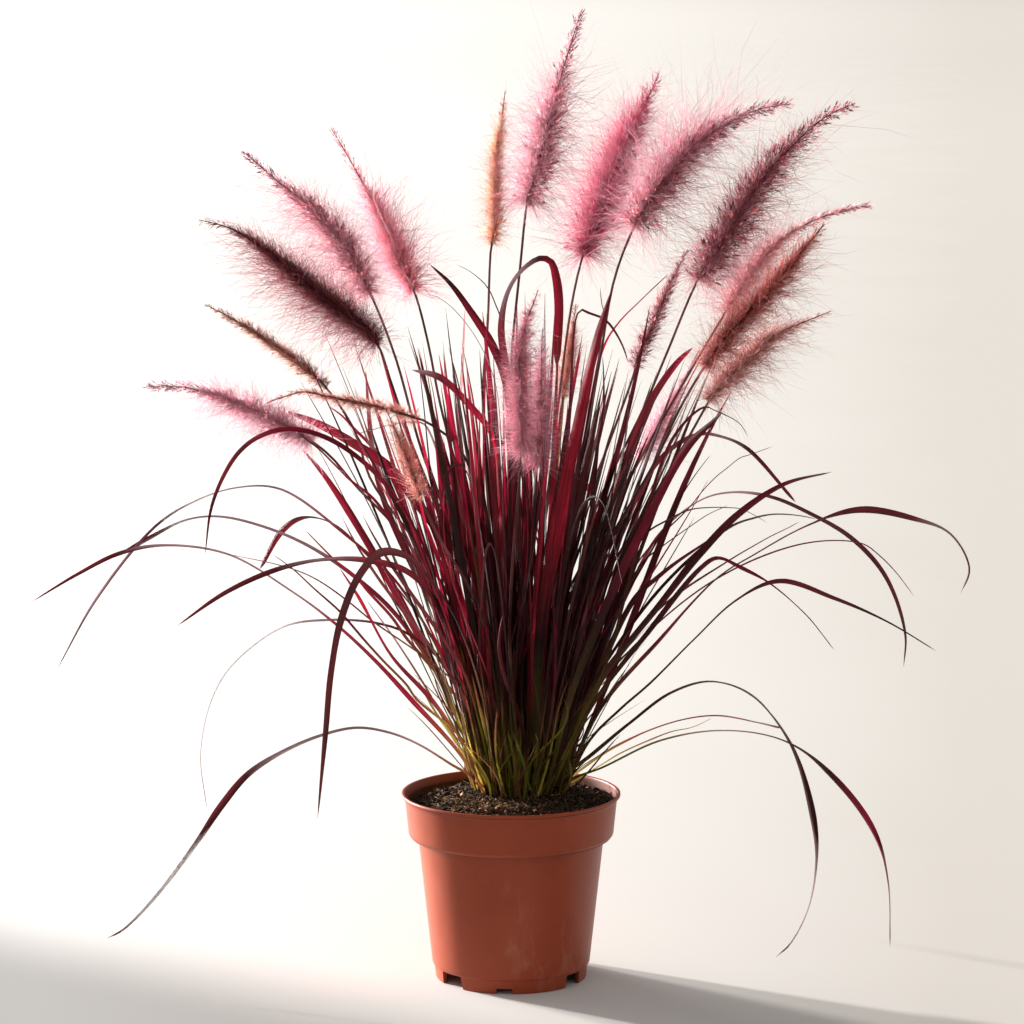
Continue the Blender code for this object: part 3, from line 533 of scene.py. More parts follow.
def seen_route(points, depth, ring):
    """The path in space of a route given as seen from the front, from its root to its tip,
    and the share of its length at each of its points."""
    depth *= MM
    scale = 1 + depth / VIEW_DISTANCE
    root = root_on_crown((points[-1][0] * MM * scale, depth), ring, STEM_RADIUS)
    scale = 1 + root[1] / VIEW_DISTANCE
    start = (root[0] / scale, EYE_HEIGHT + (root[2] - EYE_HEIGHT) / scale)
    known = [start] + [(across * MM, up * MM) for across, up in points]
    seen = smooth_curve(known, PATH_SAMPLES)
    moves = np.abs(np.diff(seen, axis=0)) @ (1, VERTICAL_SHARE)
    share = np.concatenate([[0.0], np.cumsum(moves)]) / moves.sum()
    away = root[1] + (depth - root[1]) * share
    scale = 1 + away / VIEW_DISTANCE
    path = np.column_stack([seen[:, 0] * scale, away, EYE_HEIGHT + (seen[:, 1] - EYE_HEIGHT) * scale])
    reach = shares_of(path)
    marks = [0.0]
    last = 0
    for point in known[1:]:
        gaps = np.linalg.norm(seen[last:] - point, axis=1)
        near = last + int(np.argmin(gaps[:SEARCH_AHEAD]))
        marks.append(reach[near])
        last = near
    return path, np.array(marks)


def arched_route(bearing, reach, top, tip, ring):
    """The path of a leaf that arches over in one upright plane."""
    angle = math.radians(bearing)
    out = np.array([math.cos(angle), math.sin(angle)])
    end = np.array(CROWN_MIDDLE) + out * reach * MM
    root = root_on_crown(end, ring, STEM_RADIUS)
    points = [root]
    for share, height in ARCH:
        place = root[:2] + (end - root[:2]) * share
        points.append(np.array([*place, root[2] + (top * MM - root[2]) * height]))
    points.append(np.array([*end, tip * MM]))
    return smooth_curve(points, PATH_SAMPLES)


def frames(path):
    """For each point of a path: its direction, the level side vector and the upper face's normal."""
    directions = np.gradient(path, axis=0)
    directions /= np.linalg.norm(directions, axis=1, keepdims=True)
    lean = path[-1] - path[0]
    side = np.array([lean[1], -lean[0], 0.0])
    side /= np.linalg.norm(side)
    normals = np.cross(side, directions)
    normals /= np.linalg.norm(normals, axis=1, keepdims=True)
    return directions, np.cross(directions, normals), normals


class Build:
    """The points, faces and values of one piece, gathered from many small closed forms."""

    def __init__(self):
        self.points, self.quads, self.triangles, self.tints, self.places = [], [], [], [], []
        self.count = 0

    def add(self, points, quads, triangles, tints, places):
        if len(quads):
            self.quads.append(np.asarray(quads) + self.count)
        if len(triangles):
            self.triangles.append(np.asarray(triangles) + self.count)
        self.points.append(points)
        self.tints.append(np.broadcast_to(tints, (len(points), 3)))
        self.places.append(np.broadcast_to(places, (len(points), 3)))
        self.count += len(points)

    def add_many(self, points, quads, triangles, tints, places):
        """Many small forms alike: their points by form and corner, and the faces of one form."""
        count, corners, _ = points.shape
        first = (np.arange(count) * corners)[:, None, None]
        faces = [(first + np.array(own)).reshape(-1, len(own[0])) if own else []
                 for own in (quads, triangles)]
        values = [np.broadcast_to(value, points.shape).reshape(-1, 3) for value in (tints, places)]
        self.add(points.reshape(-1, 3), *faces, *values)

    def loft(self, rings, tints, places):
        """A closed skin over rings of points, each ring running anticlockwise about the path.
        Tints are one for all, or one a ring."""
        count, sides, _ = rings.shape
        index = np.arange(count * sides).reshape(count, sides)
        after = np.roll(index, -1, axis=1)
        quads = np.stack([index[:-1], after[:-1], after[1:], index[1:]], axis=-1).reshape(-1, 4)
        fan = np.arange(1, sides - 1)
        start = np.stack([np.zeros_like(fan), fan + 1, fan], axis=1)
        end = np.stack([np.zeros_like(fan), fan, fan + 1], axis=1) + (count - 1) * sides
        self.add(rings.reshape(-1, 3), quads, np.vstack([start, end]),
                 np.repeat(tints, sides, axis=0) if len(np.shape(tints)) > 1 else tints, places)

    def piece(self, name, look, stands_for=(), sharp=None):
        quads = np.concatenate(self.quads) if self.quads else np.zeros((0, 4), int)
        triangles = np.concatenate(self.triangles) if self.triangles else np.zeros((0, 3), int)
        points = np.concatenate(self.points)
        mesh = bpy.data.meshes.new(name)
        mesh.vertices.add(len(points))
        mesh.vertices.foreach_set("co", points.astype(np.float32).ravel())
        mesh.loops.add(quads.size + triangles.size)
        corners = np.concatenate([quads.ravel(), triangles.ravel()])
        mesh.loops.foreach_set("vertex_index", corners.astype(np.int32))
        mesh.polygons.add(len(quads) + len(triangles))
        starts = np.concatenate([np.arange(len(quads)) * 4, quads.size + np.arange(len(triangles)) * 3])
        mesh.polygons.foreach_set("loop_start", starts.astype(np.int32))
        mesh.update(calc_edges=True)
        tint = mesh.attributes.new("tint", "FLOAT_COLOR", "POINT")
        colours = np.column_stack([np.concatenate(self.tints), np.ones(len(points))])
        tint.data.foreach_set("color", colours.astype(np.float32).ravel())
        place = mesh.attributes.new("place", "FLOAT_VECTOR", "POINT")
        place.data.foreach_set("vector", np.concatenate(self.places).astype(np.float32).ravel())
        mesh.shade_smooth()
        if sharp:
            mesh.set_sharp_from_angle(angle=math.radians(sharp))
        mesh.materials.append(look)
        place_piece(add_object(name, mesh), stands_for)


def add_object(name, data):
    obj = bpy.data.objects.new(name, data)
    bpy.context.scene.collection.objects.link(obj)
    return obj


def place_piece(obj, stands_for=()):
    """Ties a piece to the part's body, in place of the nodes it stands for."""
    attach(obj, "root")
    if stands_for:
        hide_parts(*stands_for)


class Surface:
    """A material whose nodes are added one by one. An input is given by its name, or as i0, i1 and
    so on by its number."""

    def __init__(self, name):
        self.material = bpy.data.materials.new(name)
        self.material.use_nodes = True
        self.tree = self.material.node_tree
        self.tree.nodes.clear()

    def node(self, kind, settings=None, **inputs):
        made = self.tree.nodes.new("ShaderNode" + kind)
        for key, value in (settings or {}).items():
            setattr(made, key, value)
        for key, value in inputs.items():
            numbered = key[0] == "i" and key[1:].isdigit()
            socket = made.inputs[int(key[1:]) if numbered else key.replace("_", " ")]
            if isinstance(value, bpy.types.NodeSocket):
                self.tree.links.new(value, socket)
            else:
                socket.default_value = value
        return made

    def math(self, operation, *values):
        inputs = {f"i{number}": value for number, value in enumerate(values)}
        return self.node("Math", {"operation": operation}, **inputs).outputs[0]

    def scaled(self, vector, share):
        return self.node("VectorMath", {"operation": "SCALE"}, i0=vector, Scale=share).outputs[0]

    def attribute(self, name, output):
        return self.node("Attribute", {"attribute_name": name}).outputs[output]

    def plain(self, colour, roughness, gloss, bump=None):
        inputs = {"Base_Color": colour, "Roughness": roughness}
        if bump:
            inputs["Normal"] = bump
        shader = self.node("BsdfPrincipled", None, **inputs)
        shader.inputs["Specular IOR Level"].default_value = gloss
        return shader

    def mix(self, share, one, other, blend="MIX"):
        made = self.node("Mix", {"data_type": "RGBA", "blend_type": blend})
        for socket, value in ((made.inputs[0], share), (made.inputs[6], one), (made.inputs[7], other)):
            if isinstance(value, bpy.types.NodeSocket):
                self.tree.links.new(value, socket)
            else:
                socket.default_value = (*value, 1) if isinstance(value, tuple) else value
        return made.outputs[2]

    def ramp(self, value, low, high, to_low=0.0, to_high=1.0, settings=None):
        made = self.node("MapRange", settings, Value=value)
        for key, number in (("From Min", low), ("From Max", high), ("To Min", to_low), ("To Max", to_high)):
            made.inputs[key].default_value = number
        return made.outputs[0]

    def noise(self, where, scale, detail=4.0, roughness=0.55):
        inputs = {"Vector": where, "Scale": scale, "Detail": detail, "Roughness": roughness}
        return self.node("TexNoise", None, **inputs).outputs[0]

    def stretched(self, where, scale):
        return self.node("Mapping", None, Vector=where, Scale=scale).outputs[0]

    def bump(self, height, distance, strength=1.0):
        return self.node("Bump", None, Height=height, Distance=distance, Strength=strength).outputs[0]

    def finish(self, shader):
        out = self.node("OutputMaterial")
        self.tree.links.new(shader.outputs[0], out.inputs[0])
        return self.material


def thin_surface(name, through, share, rough, gloss, veined):
    """A thin plant surface: its own tint, streaked along its length, with some light let through.

    Light crosses two faces of a closed blade, so each passes the square root of the tint. Place
    holds how far along the piece a point is, how far across it from -1 to 1, and its number."""
    made = Surface(name)
    tint = made.attribute("tint", 0)
    place = made.attribute("place", 1)
    parts = made.node("SeparateXYZ", None, Vector=place)
    streaks = made.noise(made.stretched(place, (9.0, 4.2, 37.0)), 1.0, 3.0)
    blotch = made.noise(made.stretched(place, (34.0, 0.6, 11.0)), 1.0, 4.0)
    grain = made.noise(made.stretched(place, (900.0, 3.0, 5.0)), 1.0, 2.0)
    shade = made.ramp(streaks, 0.3, 0.7, 0.50, 1.55)
    shade = made.math("MULTIPLY", shade, made.ramp(blotch, 0.3, 0.7, 0.68, 1.34))
    shade = made.math("MULTIPLY", shade, made.ramp(grain, 0.3, 0.7, 0.93, 1.07))
    height = streaks
    if veined:
        veins = made.math("SINE", made.math("MULTIPLY", parts.outputs[1], 46.0))
        height = made.math("ADD", made.math("MULTIPLY", veins, 0.5), streaks)
        shade = made.math("MULTIPLY", shade, made.ramp(veins, -1.0, 1.0, 0.93, 1.06))
        rib = made.ramp(made.math("ABSOLUTE", parts.outputs[1]), 0.03, 0.11, 1.0, 0.0)
    colour = made.scaled(tint, shade)
    if veined:
        colour = made.mix(made.math("MULTIPLY", rib, 0.45), colour, made.scaled(tint, 1.9))
    bump = made.bump(height, 0.00012 if veined else 0.0001, 0.6)
    roughness = made.ramp(blotch, 0.3, 0.7, rough - 0.08, rough + 0.12)
    front = made.plain(colour, roughness, gloss, bump)
    root = made.node("Gamma", None, Color=colour, Gamma=0.5).outputs[0]
    lit = made.node("VectorMath", {"operation": "MULTIPLY"}, i0=root)
    lit.inputs[1].default_value = through
    behind = made.node("BsdfTranslucent", None, Color=lit.outputs[0])
    mixed = made.node("MixShader", None, i0=share, i1=front.outputs[0], i2=behind.outputs[0])
    return made.finish(mixed)


def pot_surface():
    """Terracotta-coloured plastic: satin, scuffed, with pale dust low down, soil specks, and an inner face
    darkened by stain and painted shade.
    """
    made = Surface("pot_plastic")
    where = made.node("TexCoord").outputs["Object"]
    parts = made.node("SeparateXYZ", None, Vector=where)
    across, height = parts.outputs[0], parts.outputs[2]
    cloud = made.noise(where, 14.0, 5.0)
    fine = made.noise(where, 160.0, 3.0)
    colour = made.mix(made.ramp(cloud, 0.35, 0.65), POT_DARK, POT_LIGHT)
    scuffs = made.noise(made.stretched(where, (46.0, 46.0, 17.0)), 1.0, 7.0, 0.68)
    scuffs = made.ramp(scuffs, 0.52, 0.74)
    patches = made.ramp(made.noise(where, 19.0, 3.0), 0.44, 0.62)
    low = made.ramp(height, 0.015, 0.115, 1.0, 0.30)
    dust = made.math("MULTIPLY", made.math("MULTIPLY", scuffs, patches), low)
    colour = made.mix(made.math("MULTIPLY", dust, 0.56), colour, POT_DUST)
    # Damp-soil stain and painted shade darken the inner face, and the flared part of it on the right where
    # the lights fall straight on it; the roughness rises there too
    normal = made.node("NewGeometry").outputs["Normal"]
    facing = made.node("VectorMath", {"operation": "DOT_PRODUCT"}, i0=normal, i1=where).outputs["Value"]
    flared = made.math("MULTIPLY", made.ramp(facing, 0.0, -0.015), made.ramp(across, 0.02, 0.05))
    stain_and_shade_mask = made.math("MAXIMUM", made.ramp(facing, -0.03, -0.06), flared)
    stain_and_shade_mask = made.math("MULTIPLY", stain_and_shade_mask, made.ramp(height, 0.1610, 0.1630, 1.0, 0.0))
    stain_and_shade_mottle = made.ramp(made.noise(where, 60.0, 5.0, 0.65), 0.35, 0.62, 0.6, 0.97)
    colour = made.mix(made.math("MULTIPLY", stain_and_shade_mask, stain_and_shade_mottle), colour, POT_STAIN_AND_SHADE)
    inside = made.ramp(height, 0.148, 0.160, 0.0, 1.0)
    specks = made.ramp(made.noise(where, 420.0, 2.0), 0.69, 0.73)
    specks = made.math("MULTIPLY", specks, made.math("MULTIPLY", inside, 0.65))
    colour = made.mix(specks, colour, POT_SPECKS)
    roughness = made.math("ADD", made.ramp(cloud, 0.3, 0.7, 0.36, 0.46), made.math("MULTIPLY", dust, 0.25))
    roughness = made.math("ADD", roughness, made.math("MULTIPLY", stain_and_shade_mask, 0.45))
    marks = made.math("ADD", made.math("MULTIPLY", fine, 0.4), made.math("MULTIPLY", scuffs, 0.5))
    return made.finish(made.plain(colour, roughness, 0.27, made.bump(marks, 0.0004, 0.35)))


def soil_surface():
    """Dark peat with paler fibres and grains."""
    made = Surface("peat")
    where = made.node("TexCoord").outputs["Object"]
    lumps = made.noise(where, 170.0, 6.0, 0.7)
    grains = made.ramp(made.noise(where, 720.0, 3.0), 0.62, 0.70)
    shade = made.ramp(lumps, 0.3, 0.75, 0.45, 1.7)
    colour = made.scaled(made.attribute("tint", 0), shade)
    colour = made.mix(made.math("MULTIPLY", grains, 0.30), colour, PEAT_GRAINS)
    bump = made.bump(made.math("ADD", lumps, made.math("MULTIPLY", grains, 0.2)), 0.0018, 0.9)
    return made.finish(made.plain(colour, made.ramp(lumps, 0.3, 0.7, 0.86, 1.0), 0.15, bump))


def floor_surface():
    """Pale plaster-like floor with a trace of mottling, with painted falloff of light that darkens it to
    the right, and a painted soft shadow in front on the left."""
    made = Surface("studio_floor")
    where = made.node("TexCoord").outputs["Object"]
    parts = made.node("SeparateXYZ", None, Vector=where)
    away = made.math("MAXIMUM", made.math("ADD", parts.outputs[1], VIEW_DISTANCE), 1.5)
    # Painted falloff of light: the colour darkens from left to right in a fan about the camera's place
    fan = made.math("DIVIDE", parts.outputs[0], away)
    cloud = made.noise(made.stretched(where, (2.2, 1.0, 1.0)), 1.3, 5.0)
    fan = made.math("ADD", fan, made.ramp(cloud, 0.3, 0.7, -0.008, 0.008))
    colour = made.mix(made.ramp(fan, -0.13, 0.12), FLOOR_LIT_LEFT, FLOOR_PAINTED_FALLOFF_RIGHT)
    # Painted shadow: a soft darker band in front on the left, as if something off to the left shaded the
    # floor
    reach = made.math("ADD", parts.outputs[1], made.math("MULTIPLY", parts.outputs[0], 0.75))
    reach = made.math("ADD", reach, made.ramp(cloud, 0.3, 0.7, -0.01, 0.01))
    painted_shadow_band = made.ramp(reach, -0.34, -0.05, 0.46, 1.0, {"interpolation_type": "SMOOTHSTEP"})
    return made.finish(made.plain(made.scaled(colour, painted_shadow_band), 0.9, 0.1))


def rounded(points, radius, steps=3):
    """An outline with each of its inner corners cut to an arc of about this radius."""
    points = np.array(points, float)
    out = [points[0]]
    for before, corner, after in zip(points, points[1:], points[2:]):
        reach_in = min(radius, np.linalg.norm(before - corner) * 0.42)
        reach_out = min(radius, np.linalg.norm(after - corner) * 0.42)
        start = corner + (before - corner) / np.linalg.norm(before - corner) * reach_in
        end = corner + (after - corner) / np.linalg.norm(after - corner) * reach_out
        for share in np.linspace(0, 1, steps + 1):
            out.append((1 - share) ** 2 * start + 2 * share * (1 - share) * corner + share ** 2 * end)
    out.append(points[-1])
    return out


def pot_profile():
    """The shell's outline, from the middle of its underside round to the middle of its floor."""
    floor_top = FLOOR_UNDERSIDE + FLOOR_THICKNESS
    foot_inside = FOOT_RADIUS - FOOT_THICKNESS
    lip_bottom = RIM_HEIGHT - LIP_DEPTH
    outline = [
        (FLOOR_MIDDLE, FLOOR_UNDERSIDE),
        (foot_inside, FLOOR_UNDERSIDE),
        (foot_inside, 0.0),
        (FOOT_RADIUS, 0.0),
        (FOOT_RADIUS + 1.6 * MM, FOOT_HEIGHT - 0.6 * MM),
        (BODY_RADIUS_LOW, FOOT_HEIGHT + 0.6 * MM),
        (BODY_RADIUS_HIGH, BAND_HEIGHT_LOW),
        (BAND_RADIUS_LOW - 2.2 * MM, BAND_HEIGHT_LOW + 0.4 * MM),
        (BAND_RADIUS_LOW, BAND_HEIGHT_LOW + 3.4 * MM),
        (BAND_RADIUS_HIGH, BAND_HEIGHT_HIGH),
        (BAND_RADIUS_HIGH + 0.8 * MM, lip_bottom - 0.9 * MM),
        (RIM_RADIUS, lip_bottom),
        (RIM_RADIUS, RIM_HEIGHT),
        (RIM_RADIUS - LIP_WIDTH, RIM_HEIGHT),
        (BAND_RADIUS_HIGH - WALL, BAND_HEIGHT_HIGH - 1 * MM),
        (BAND_RADIUS_LOW - WALL, BAND_HEIGHT_LOW + 4.8 * MM),
        (BODY_RADIUS_HIGH - WALL, BAND_HEIGHT_LOW + 1.6 * MM),
        (BODY_RADIUS_LOW - WALL, floor_top),
        (FLOOR_MIDDLE, floor_top),
    ]
    return rounded(outline, EDGE_ROUNDING)


def turned(profile, sides):
    """A solid of revolution, closed across its middle."""
    shape = bmesh.new()
    rings = []
    for step in range(sides):
        angle = 2 * math.pi * step / sides
        rings.append([shape.verts.new((r * math.cos(angle), r * math.sin(angle), z)) for r, z in profile])
    for step in range(sides):
        here, there = rings[step], rings[(step + 1) % sides]
        for k in range(len(profile) - 1):
            shape.faces.new((here[k], there[k], there[k + 1], here[k + 1]))
    shape.faces.new([ring[0] for ring in reversed(rings)])
    shape.faces.new([ring[-1] for ring in rings])
    bmesh.ops.recalc_face_normals(shape, faces=shape.faces)
    return shape


def pot():
    """The turned shell with its notches cut out of the foot ring."""
    mesh = bpy.data.meshes.new("pot_shell")
    shape = turned(pot_profile(), POT_SIDES)
    shape.to_mesh(mesh)
    shape.free()
    whole = add_object("pot_blank", mesh)
    cutters = []
    for bearing, width, height in NOTCHES:
        box = bmesh.new()
        bmesh.ops.create_cube(box, size=1.0)
        for vertex in box.verts:
            flare = 1.0 if vertex.co.z > 0 else NOTCH_FLARE
            vertex.co.x = FOOT_RADIUS + vertex.co.x * NOTCH_CUT
            vertex.co.y *= width * flare
            vertex.co.z = height if vertex.co.z > 0 else -4 * MM
        cut_mesh = bpy.data.meshes.new("notch")
        bmesh.ops.rotate(box, cent=(0, 0, 0), verts=box.verts,
                         matrix=Matrix.Rotation(math.radians(bearing - 90), 3, "Z"))
        box.to_mesh(cut_mesh)
        box.free()
        cutter = add_object("notch", cut_mesh)
        cutters.append(cutter)
        cut = whole.modifiers.new("notch", "BOOLEAN")
        cut.operation = "DIFFERENCE"
        cut.object = cutter
    bpy.context.view_layer.update()
    evaluated = whole.evaluated_get(bpy.context.evaluated_depsgraph_get())
    final = bpy.data.meshes.new_from_object(evaluated)
    for helper in cutters + [whole]:
        bpy.data.objects.remove(helper, do_unlink=True)
    final.name = "pot_shell"
    final.shade_smooth()
    final.set_sharp_from_angle(angle=math.radians(POT_SHARP_ANGLE))
    final.materials.clear()
    final.materials.append(pot_surface())
    place_piece(add_object("pot_shell", final), ["pot"])


def wave(x, y, seed):
    """A smooth lumpy height from -1 to 1."""
    draw = np.random.default_rng(seed)
    total, weight = np.zeros_like(x), 0.0
    for octave in range(5):
        for _ in range(5):
            turn, phase = draw.uniform(0, 2 * math.pi, 2)
            scale = 55 * 1.9 ** octave * draw.uniform(0.7, 1.3)
            total += np.sin((x * math.cos(turn) + y * math.sin(turn)) * scale + phase) / 1.5 ** octave
            weight += 0.5 / 1.5 ** octave
    return total / weight


def soil_height(x, y):
    """The top of the peat at a place in the pot: low at the wall, heaped over the crown."""
    radius = np.hypot(x, y)
    base = np.interp(radius, (0, 0.05, MOUND_RADIUS, 0.066, 0.078, 0.09),
                     (MOUND_HEIGHT - 1 * MM, MOUND_HEIGHT - 1 * MM, MOUND_HEIGHT - 0.5 * MM,
                      SOIL_EDGE_HEIGHT + 4.5 * MM, SOIL_EDGE_HEIGHT + 1 * MM, SOIL_EDGE_HEIGHT))
    ring = np.hypot((x - CROWN_MIDDLE[0]) / CROWN_HALF[0], (y - CROWN_MIDDLE[1]) / CROWN_HALF[1])
    heap = crown_height(np.minimum(ring, 1.0)) + CROWN_COVER
    share = np.clip((HEAP_EDGE - ring) / (HEAP_EDGE - HEAP_TOP), 0, 1)
    share = share * share * (3 - 2 * share)
    right = np.clip((x + 0.35 * y - 0.02) / 0.05, 0, 1) * np.clip((radius - 0.06) / 0.02, 0, 1)
    lumpy = wave(x, y, 5) * (2.3 - 1.7 * share) * MM
    return base + (heap - base) * share + lumpy + right * RIGHT_RISE


def soil(look):
    """The peat as one closed solid: its lumpy top, then down the pot's inside."""
    draw = np.random.default_rng(11)
    build = Build()
    top_radius = BAND_RADIUS_HIGH - WALL - SOIL_CLEARANCE
    radii = np.concatenate([np.linspace(0.004, 0.05, 16), np.linspace(0.0515, top_radius, 44)])
    angles = -np.arange(SOIL_SIDES) * 2 * math.pi / SOIL_SIDES
    x, y = np.outer(radii, np.cos(angles)), np.outer(radii, np.sin(angles))
    z = soil_height(x, y) + draw.normal(0, 0.25 * MM, x.shape)
    top = np.stack([x, y, z], axis=-1)
    wall = []
    for radius, height in ((BAND_RADIUS_LOW - WALL - 1.4 * MM, BAND_HEIGHT_LOW + 5.4 * MM),
                           (BODY_RADIUS_HIGH - WALL - SOIL_CLEARANCE, BAND_HEIGHT_LOW + 2.1 * MM),
                           (BODY_RADIUS_LOW - WALL - SOIL_CLEARANCE, FOOT_HEIGHT + 0.8 * MM)):
        wall.append(np.stack([radius * np.cos(angles), radius * np.sin(angles),
                              np.full(SOIL_SIDES, height)], axis=-1))
    build.loft(np.concatenate([top, np.array(wall)]), PEAT, (0, 0, 0))
    build.piece("soil_bed", look, ["soil"])


def lumps(build, draw, centres, sizes, tints, squash, elongate):
    """Irregular small chunks: each a rough eight-faced pebble, chip or splinter."""
    corner = np.array([(1, 0, 0), (0, 1, 0), (-1, 0, 0), (0, -1, 0), (0, 0, 1), (0, 0, -1)], float)
    count = len(centres)
    shape = corner[None] * draw.uniform(0.6, 1.25, (count, 6, 1)) * np.array([elongate, 1.0, squash])
    turn = draw.uniform(0, 2 * math.pi, count)
    tilt = draw.normal(0, 0.45, count)
    x = shape[..., 0] * np.cos(tilt)[:, None] - shape[..., 2] * np.sin(tilt)[:, None]
    z = shape[..., 0] * np.sin(tilt)[:, None] + shape[..., 2] * np.cos(tilt)[:, None]
    y = shape[..., 1]
    turned_x = x * np.cos(turn)[:, None] - y * np.sin(turn)[:, None]
    turned_y = x * np.sin(turn)[:, None] + y * np.cos(turn)[:, None]
    points = np.stack([turned_x, turned_y, z], axis=-1) * sizes[:, None, None] + centres[:, None]
    build.add_many(points, [], EIGHT_FACES, tints[:, None], (0, 0, 0))


def soil_litter(look):
    """Crumbs of peat, tan chips and loose fibres that lie on the soil."""
    draw = np.random.default_rng(23)
    build = Build()
    edge = BAND_RADIUS_HIGH - WALL - 5 * MM

    def places(count, gathered, lift):
        """Spots on the soil, with this share of them gathered in front, a little to the left."""
        radius = np.sqrt(draw.uniform(0.10, 0.97, count)) * edge
        angle = draw.uniform(0, 2 * math.pi, count)
        front = math.radians(LITTER_BEARING) + draw.normal(0, LITTER_SPREAD, count)
        angle = np.where(draw.uniform(0, 1, count) < gathered, front, angle)
        x, y = radius * np.cos(angle), radius * np.sin(angle)
        return np.stack([x, y, soil_height(x, y) + lift], axis=-1)

    # Crumbs and clods
    size = draw.lognormal(math.log(1.05), 0.55, CRUMBS).clip(0.4, 3.6) * MM
    spot = places(len(size), 0.0, size * 0.35)
    lumps(build, draw, spot, size, CRUMB * draw.uniform(0.2, 2.2, (len(size), 1)), 0.8, 1.25)
    # Chips
    size = draw.lognormal(math.log(0.85), 0.45, CHIPS).clip(0.4, 2.4) * MM
    spot = places(len(size), 0.80, size * 0.6 + draw.uniform(0, 2.6 * MM, len(size)))
    lumps(build, draw, spot, size, CHIP * draw.uniform(0.10, 1.05, (len(size), 1)) ** 1.3, 0.5, 1.5)
    # Fibres
    length = draw.uniform(3, 11, FIBRES) * MM
    spot = places(FIBRES, 0.62, 0.6 * MM)
    direction = np.column_stack([draw.normal(0, 1, (FIBRES, 2)), draw.normal(0.2, 0.3, FIBRES)])
    bend = np.column_stack([draw.normal(0, 0.5, (FIBRES, 2)), draw.normal(-0.12, 0.2, FIBRES)])
    near = np.hypot(spot[:, 0], spot[:, 1]) / edge
    length *= np.interp(near, (0.8, 1.0), (1.0, 0.45))
    strands(build, draw, spot, direction, length, draw.uniform(0.16, 0.34, FIBRES) * MM, bend,
            CHIP * draw.uniform(0.05, 0.8, (FIBRES, 1)), CHIP * draw.uniform(0.1, 1.0, (FIBRES, 1)),
            rings=2)
    build.piece("soil_litter", look)


def sides_of(directions):
    """Two directions square to each of the given ones and to each other."""
    helper = np.where(np.abs(directions[:, 2:]) < 0.8, (0.0, 0.0, 1.0), (1.0, 0.0, 0.0))
    one = np.cross(directions, helper)
    one /= np.linalg.norm(one, axis=1, keepdims=True)
    return one, np.cross(directions, one)


def strands(build, draw, roots, directions, lengths, radii, bends, root_tints, tip_tints, rings,
            waves=None):
    """Many thin three-sided hairs, each tapered to a point, bent by its bend vector and swung to
    and fro along its wave vector."""
    count = len(roots)
    directions = directions / np.linalg.norm(directions, axis=1, keepdims=True)
    one, two = sides_of(directions)
    points, tints, runs = [], [], []
    for ring in range(rings):
        share = ring / rings
        middle = roots + directions * (lengths * share)[:, None] + bends * (lengths * share ** 2)[:, None]
        if waves is not None:
            middle = middle + waves * (lengths * math.sin(2 * math.pi * share))[:, None]
        radius = (radii * (1 - 0.55 * share))[:, None]
        for angle in (0, 2 * math.pi / 3, 4 * math.pi / 3):
            points.append(middle + (one * math.cos(angle) + two * math.sin(angle)) * radius)
            tints.append(root_tints + (tip_tints - root_tints) * share)
            runs.append(lengths * share)
    points.append(roots + directions * lengths[:, None] + bends * lengths[:, None])
    tints.append(tip_tints)
    runs.append(lengths)
    per = 3 * rings + 1
    tints = np.stack([np.broadcast_to(tint, (count, 3)) for tint in tints], axis=1)
    runs = np.stack(runs, axis=1)
    number = np.repeat(draw.uniform(0, 40, count)[:, None], per, axis=1)
    places = np.stack([runs, np.zeros_like(runs), number], axis=-1)
    quads = [(3 * r + k, 3 * r + (k + 1) % 3, 3 * r + 3 + (k + 1) % 3, 3 * r + 3 + k)
             for r in range(rings - 1) for k in range(3)]
    last = 3 * (rings - 1)
    triangles = [(last + k, last + (k + 1) % 3, per - 1) for k in range(3)] + [(0, 2, 1)]
    build.add_many(np.stack(points, axis=1), quads, triangles, tints, places)


def blade(build, path, widths, turns, tints, number, thick=0.42, sides=8, fold=0.24):
    """A thin folded blade with a midrib: widths in metres, turns in radians about its length, the
    thickness in millimetres. Its section is given in half widths and half thicknesses."""
    _, level, normals = frames(path)
    cos, sin = np.cos(turns)[:, None], np.sin(turns)[:, None]
    across, upper = level * cos + normals * sin, normals * cos - level * sin
    half = widths[:, None] / 2
    thin = np.minimum(thick * MM / 2, widths * 0.35)[:, None]
    if sides == 8:
        section = [(1, 0), (0.5, -0.8), (0, -2.0), (-0.5, -0.8), (-1, 0), (-0.5, 0.8), (0, 0.9), (0.5, 0.8)]
    else:
        section = [(1, 0), (0, -1.5), (-1, 0), (0, 1.0)]
    rings = np.stack([
        path + across * half * u + upper * (thin * v + half * fold * abs(u))
        for u, v in section], axis=1)
    run = shares_of(path) * length_of(path)
    places = np.stack([
        np.column_stack([run, np.full(len(path), u), np.full(len(path), number)])
        for u, _ in section], axis=1)
    build.loft(rings, tints, places.reshape(-1, 3))


def blade_colours(letters, marks, shares, draw):
    """The tint at each share of a blade, from the colour letters at its marks."""
    tints = between(shares, marks, letter_tones(letters))
    wobble = 1 + 0.18 * np.sin(shares * draw.uniform(9, 22) + draw.uniform(0, 6))
    return tints * wobble[:, None]


def softened(values):
    """The values along a blade with their kinks smoothed out."""
    kernel = np.hanning(11) / np.hanning(11).sum()
    return np.convolve(np.pad(values, 5, mode="edge"), kernel, mode="valid")


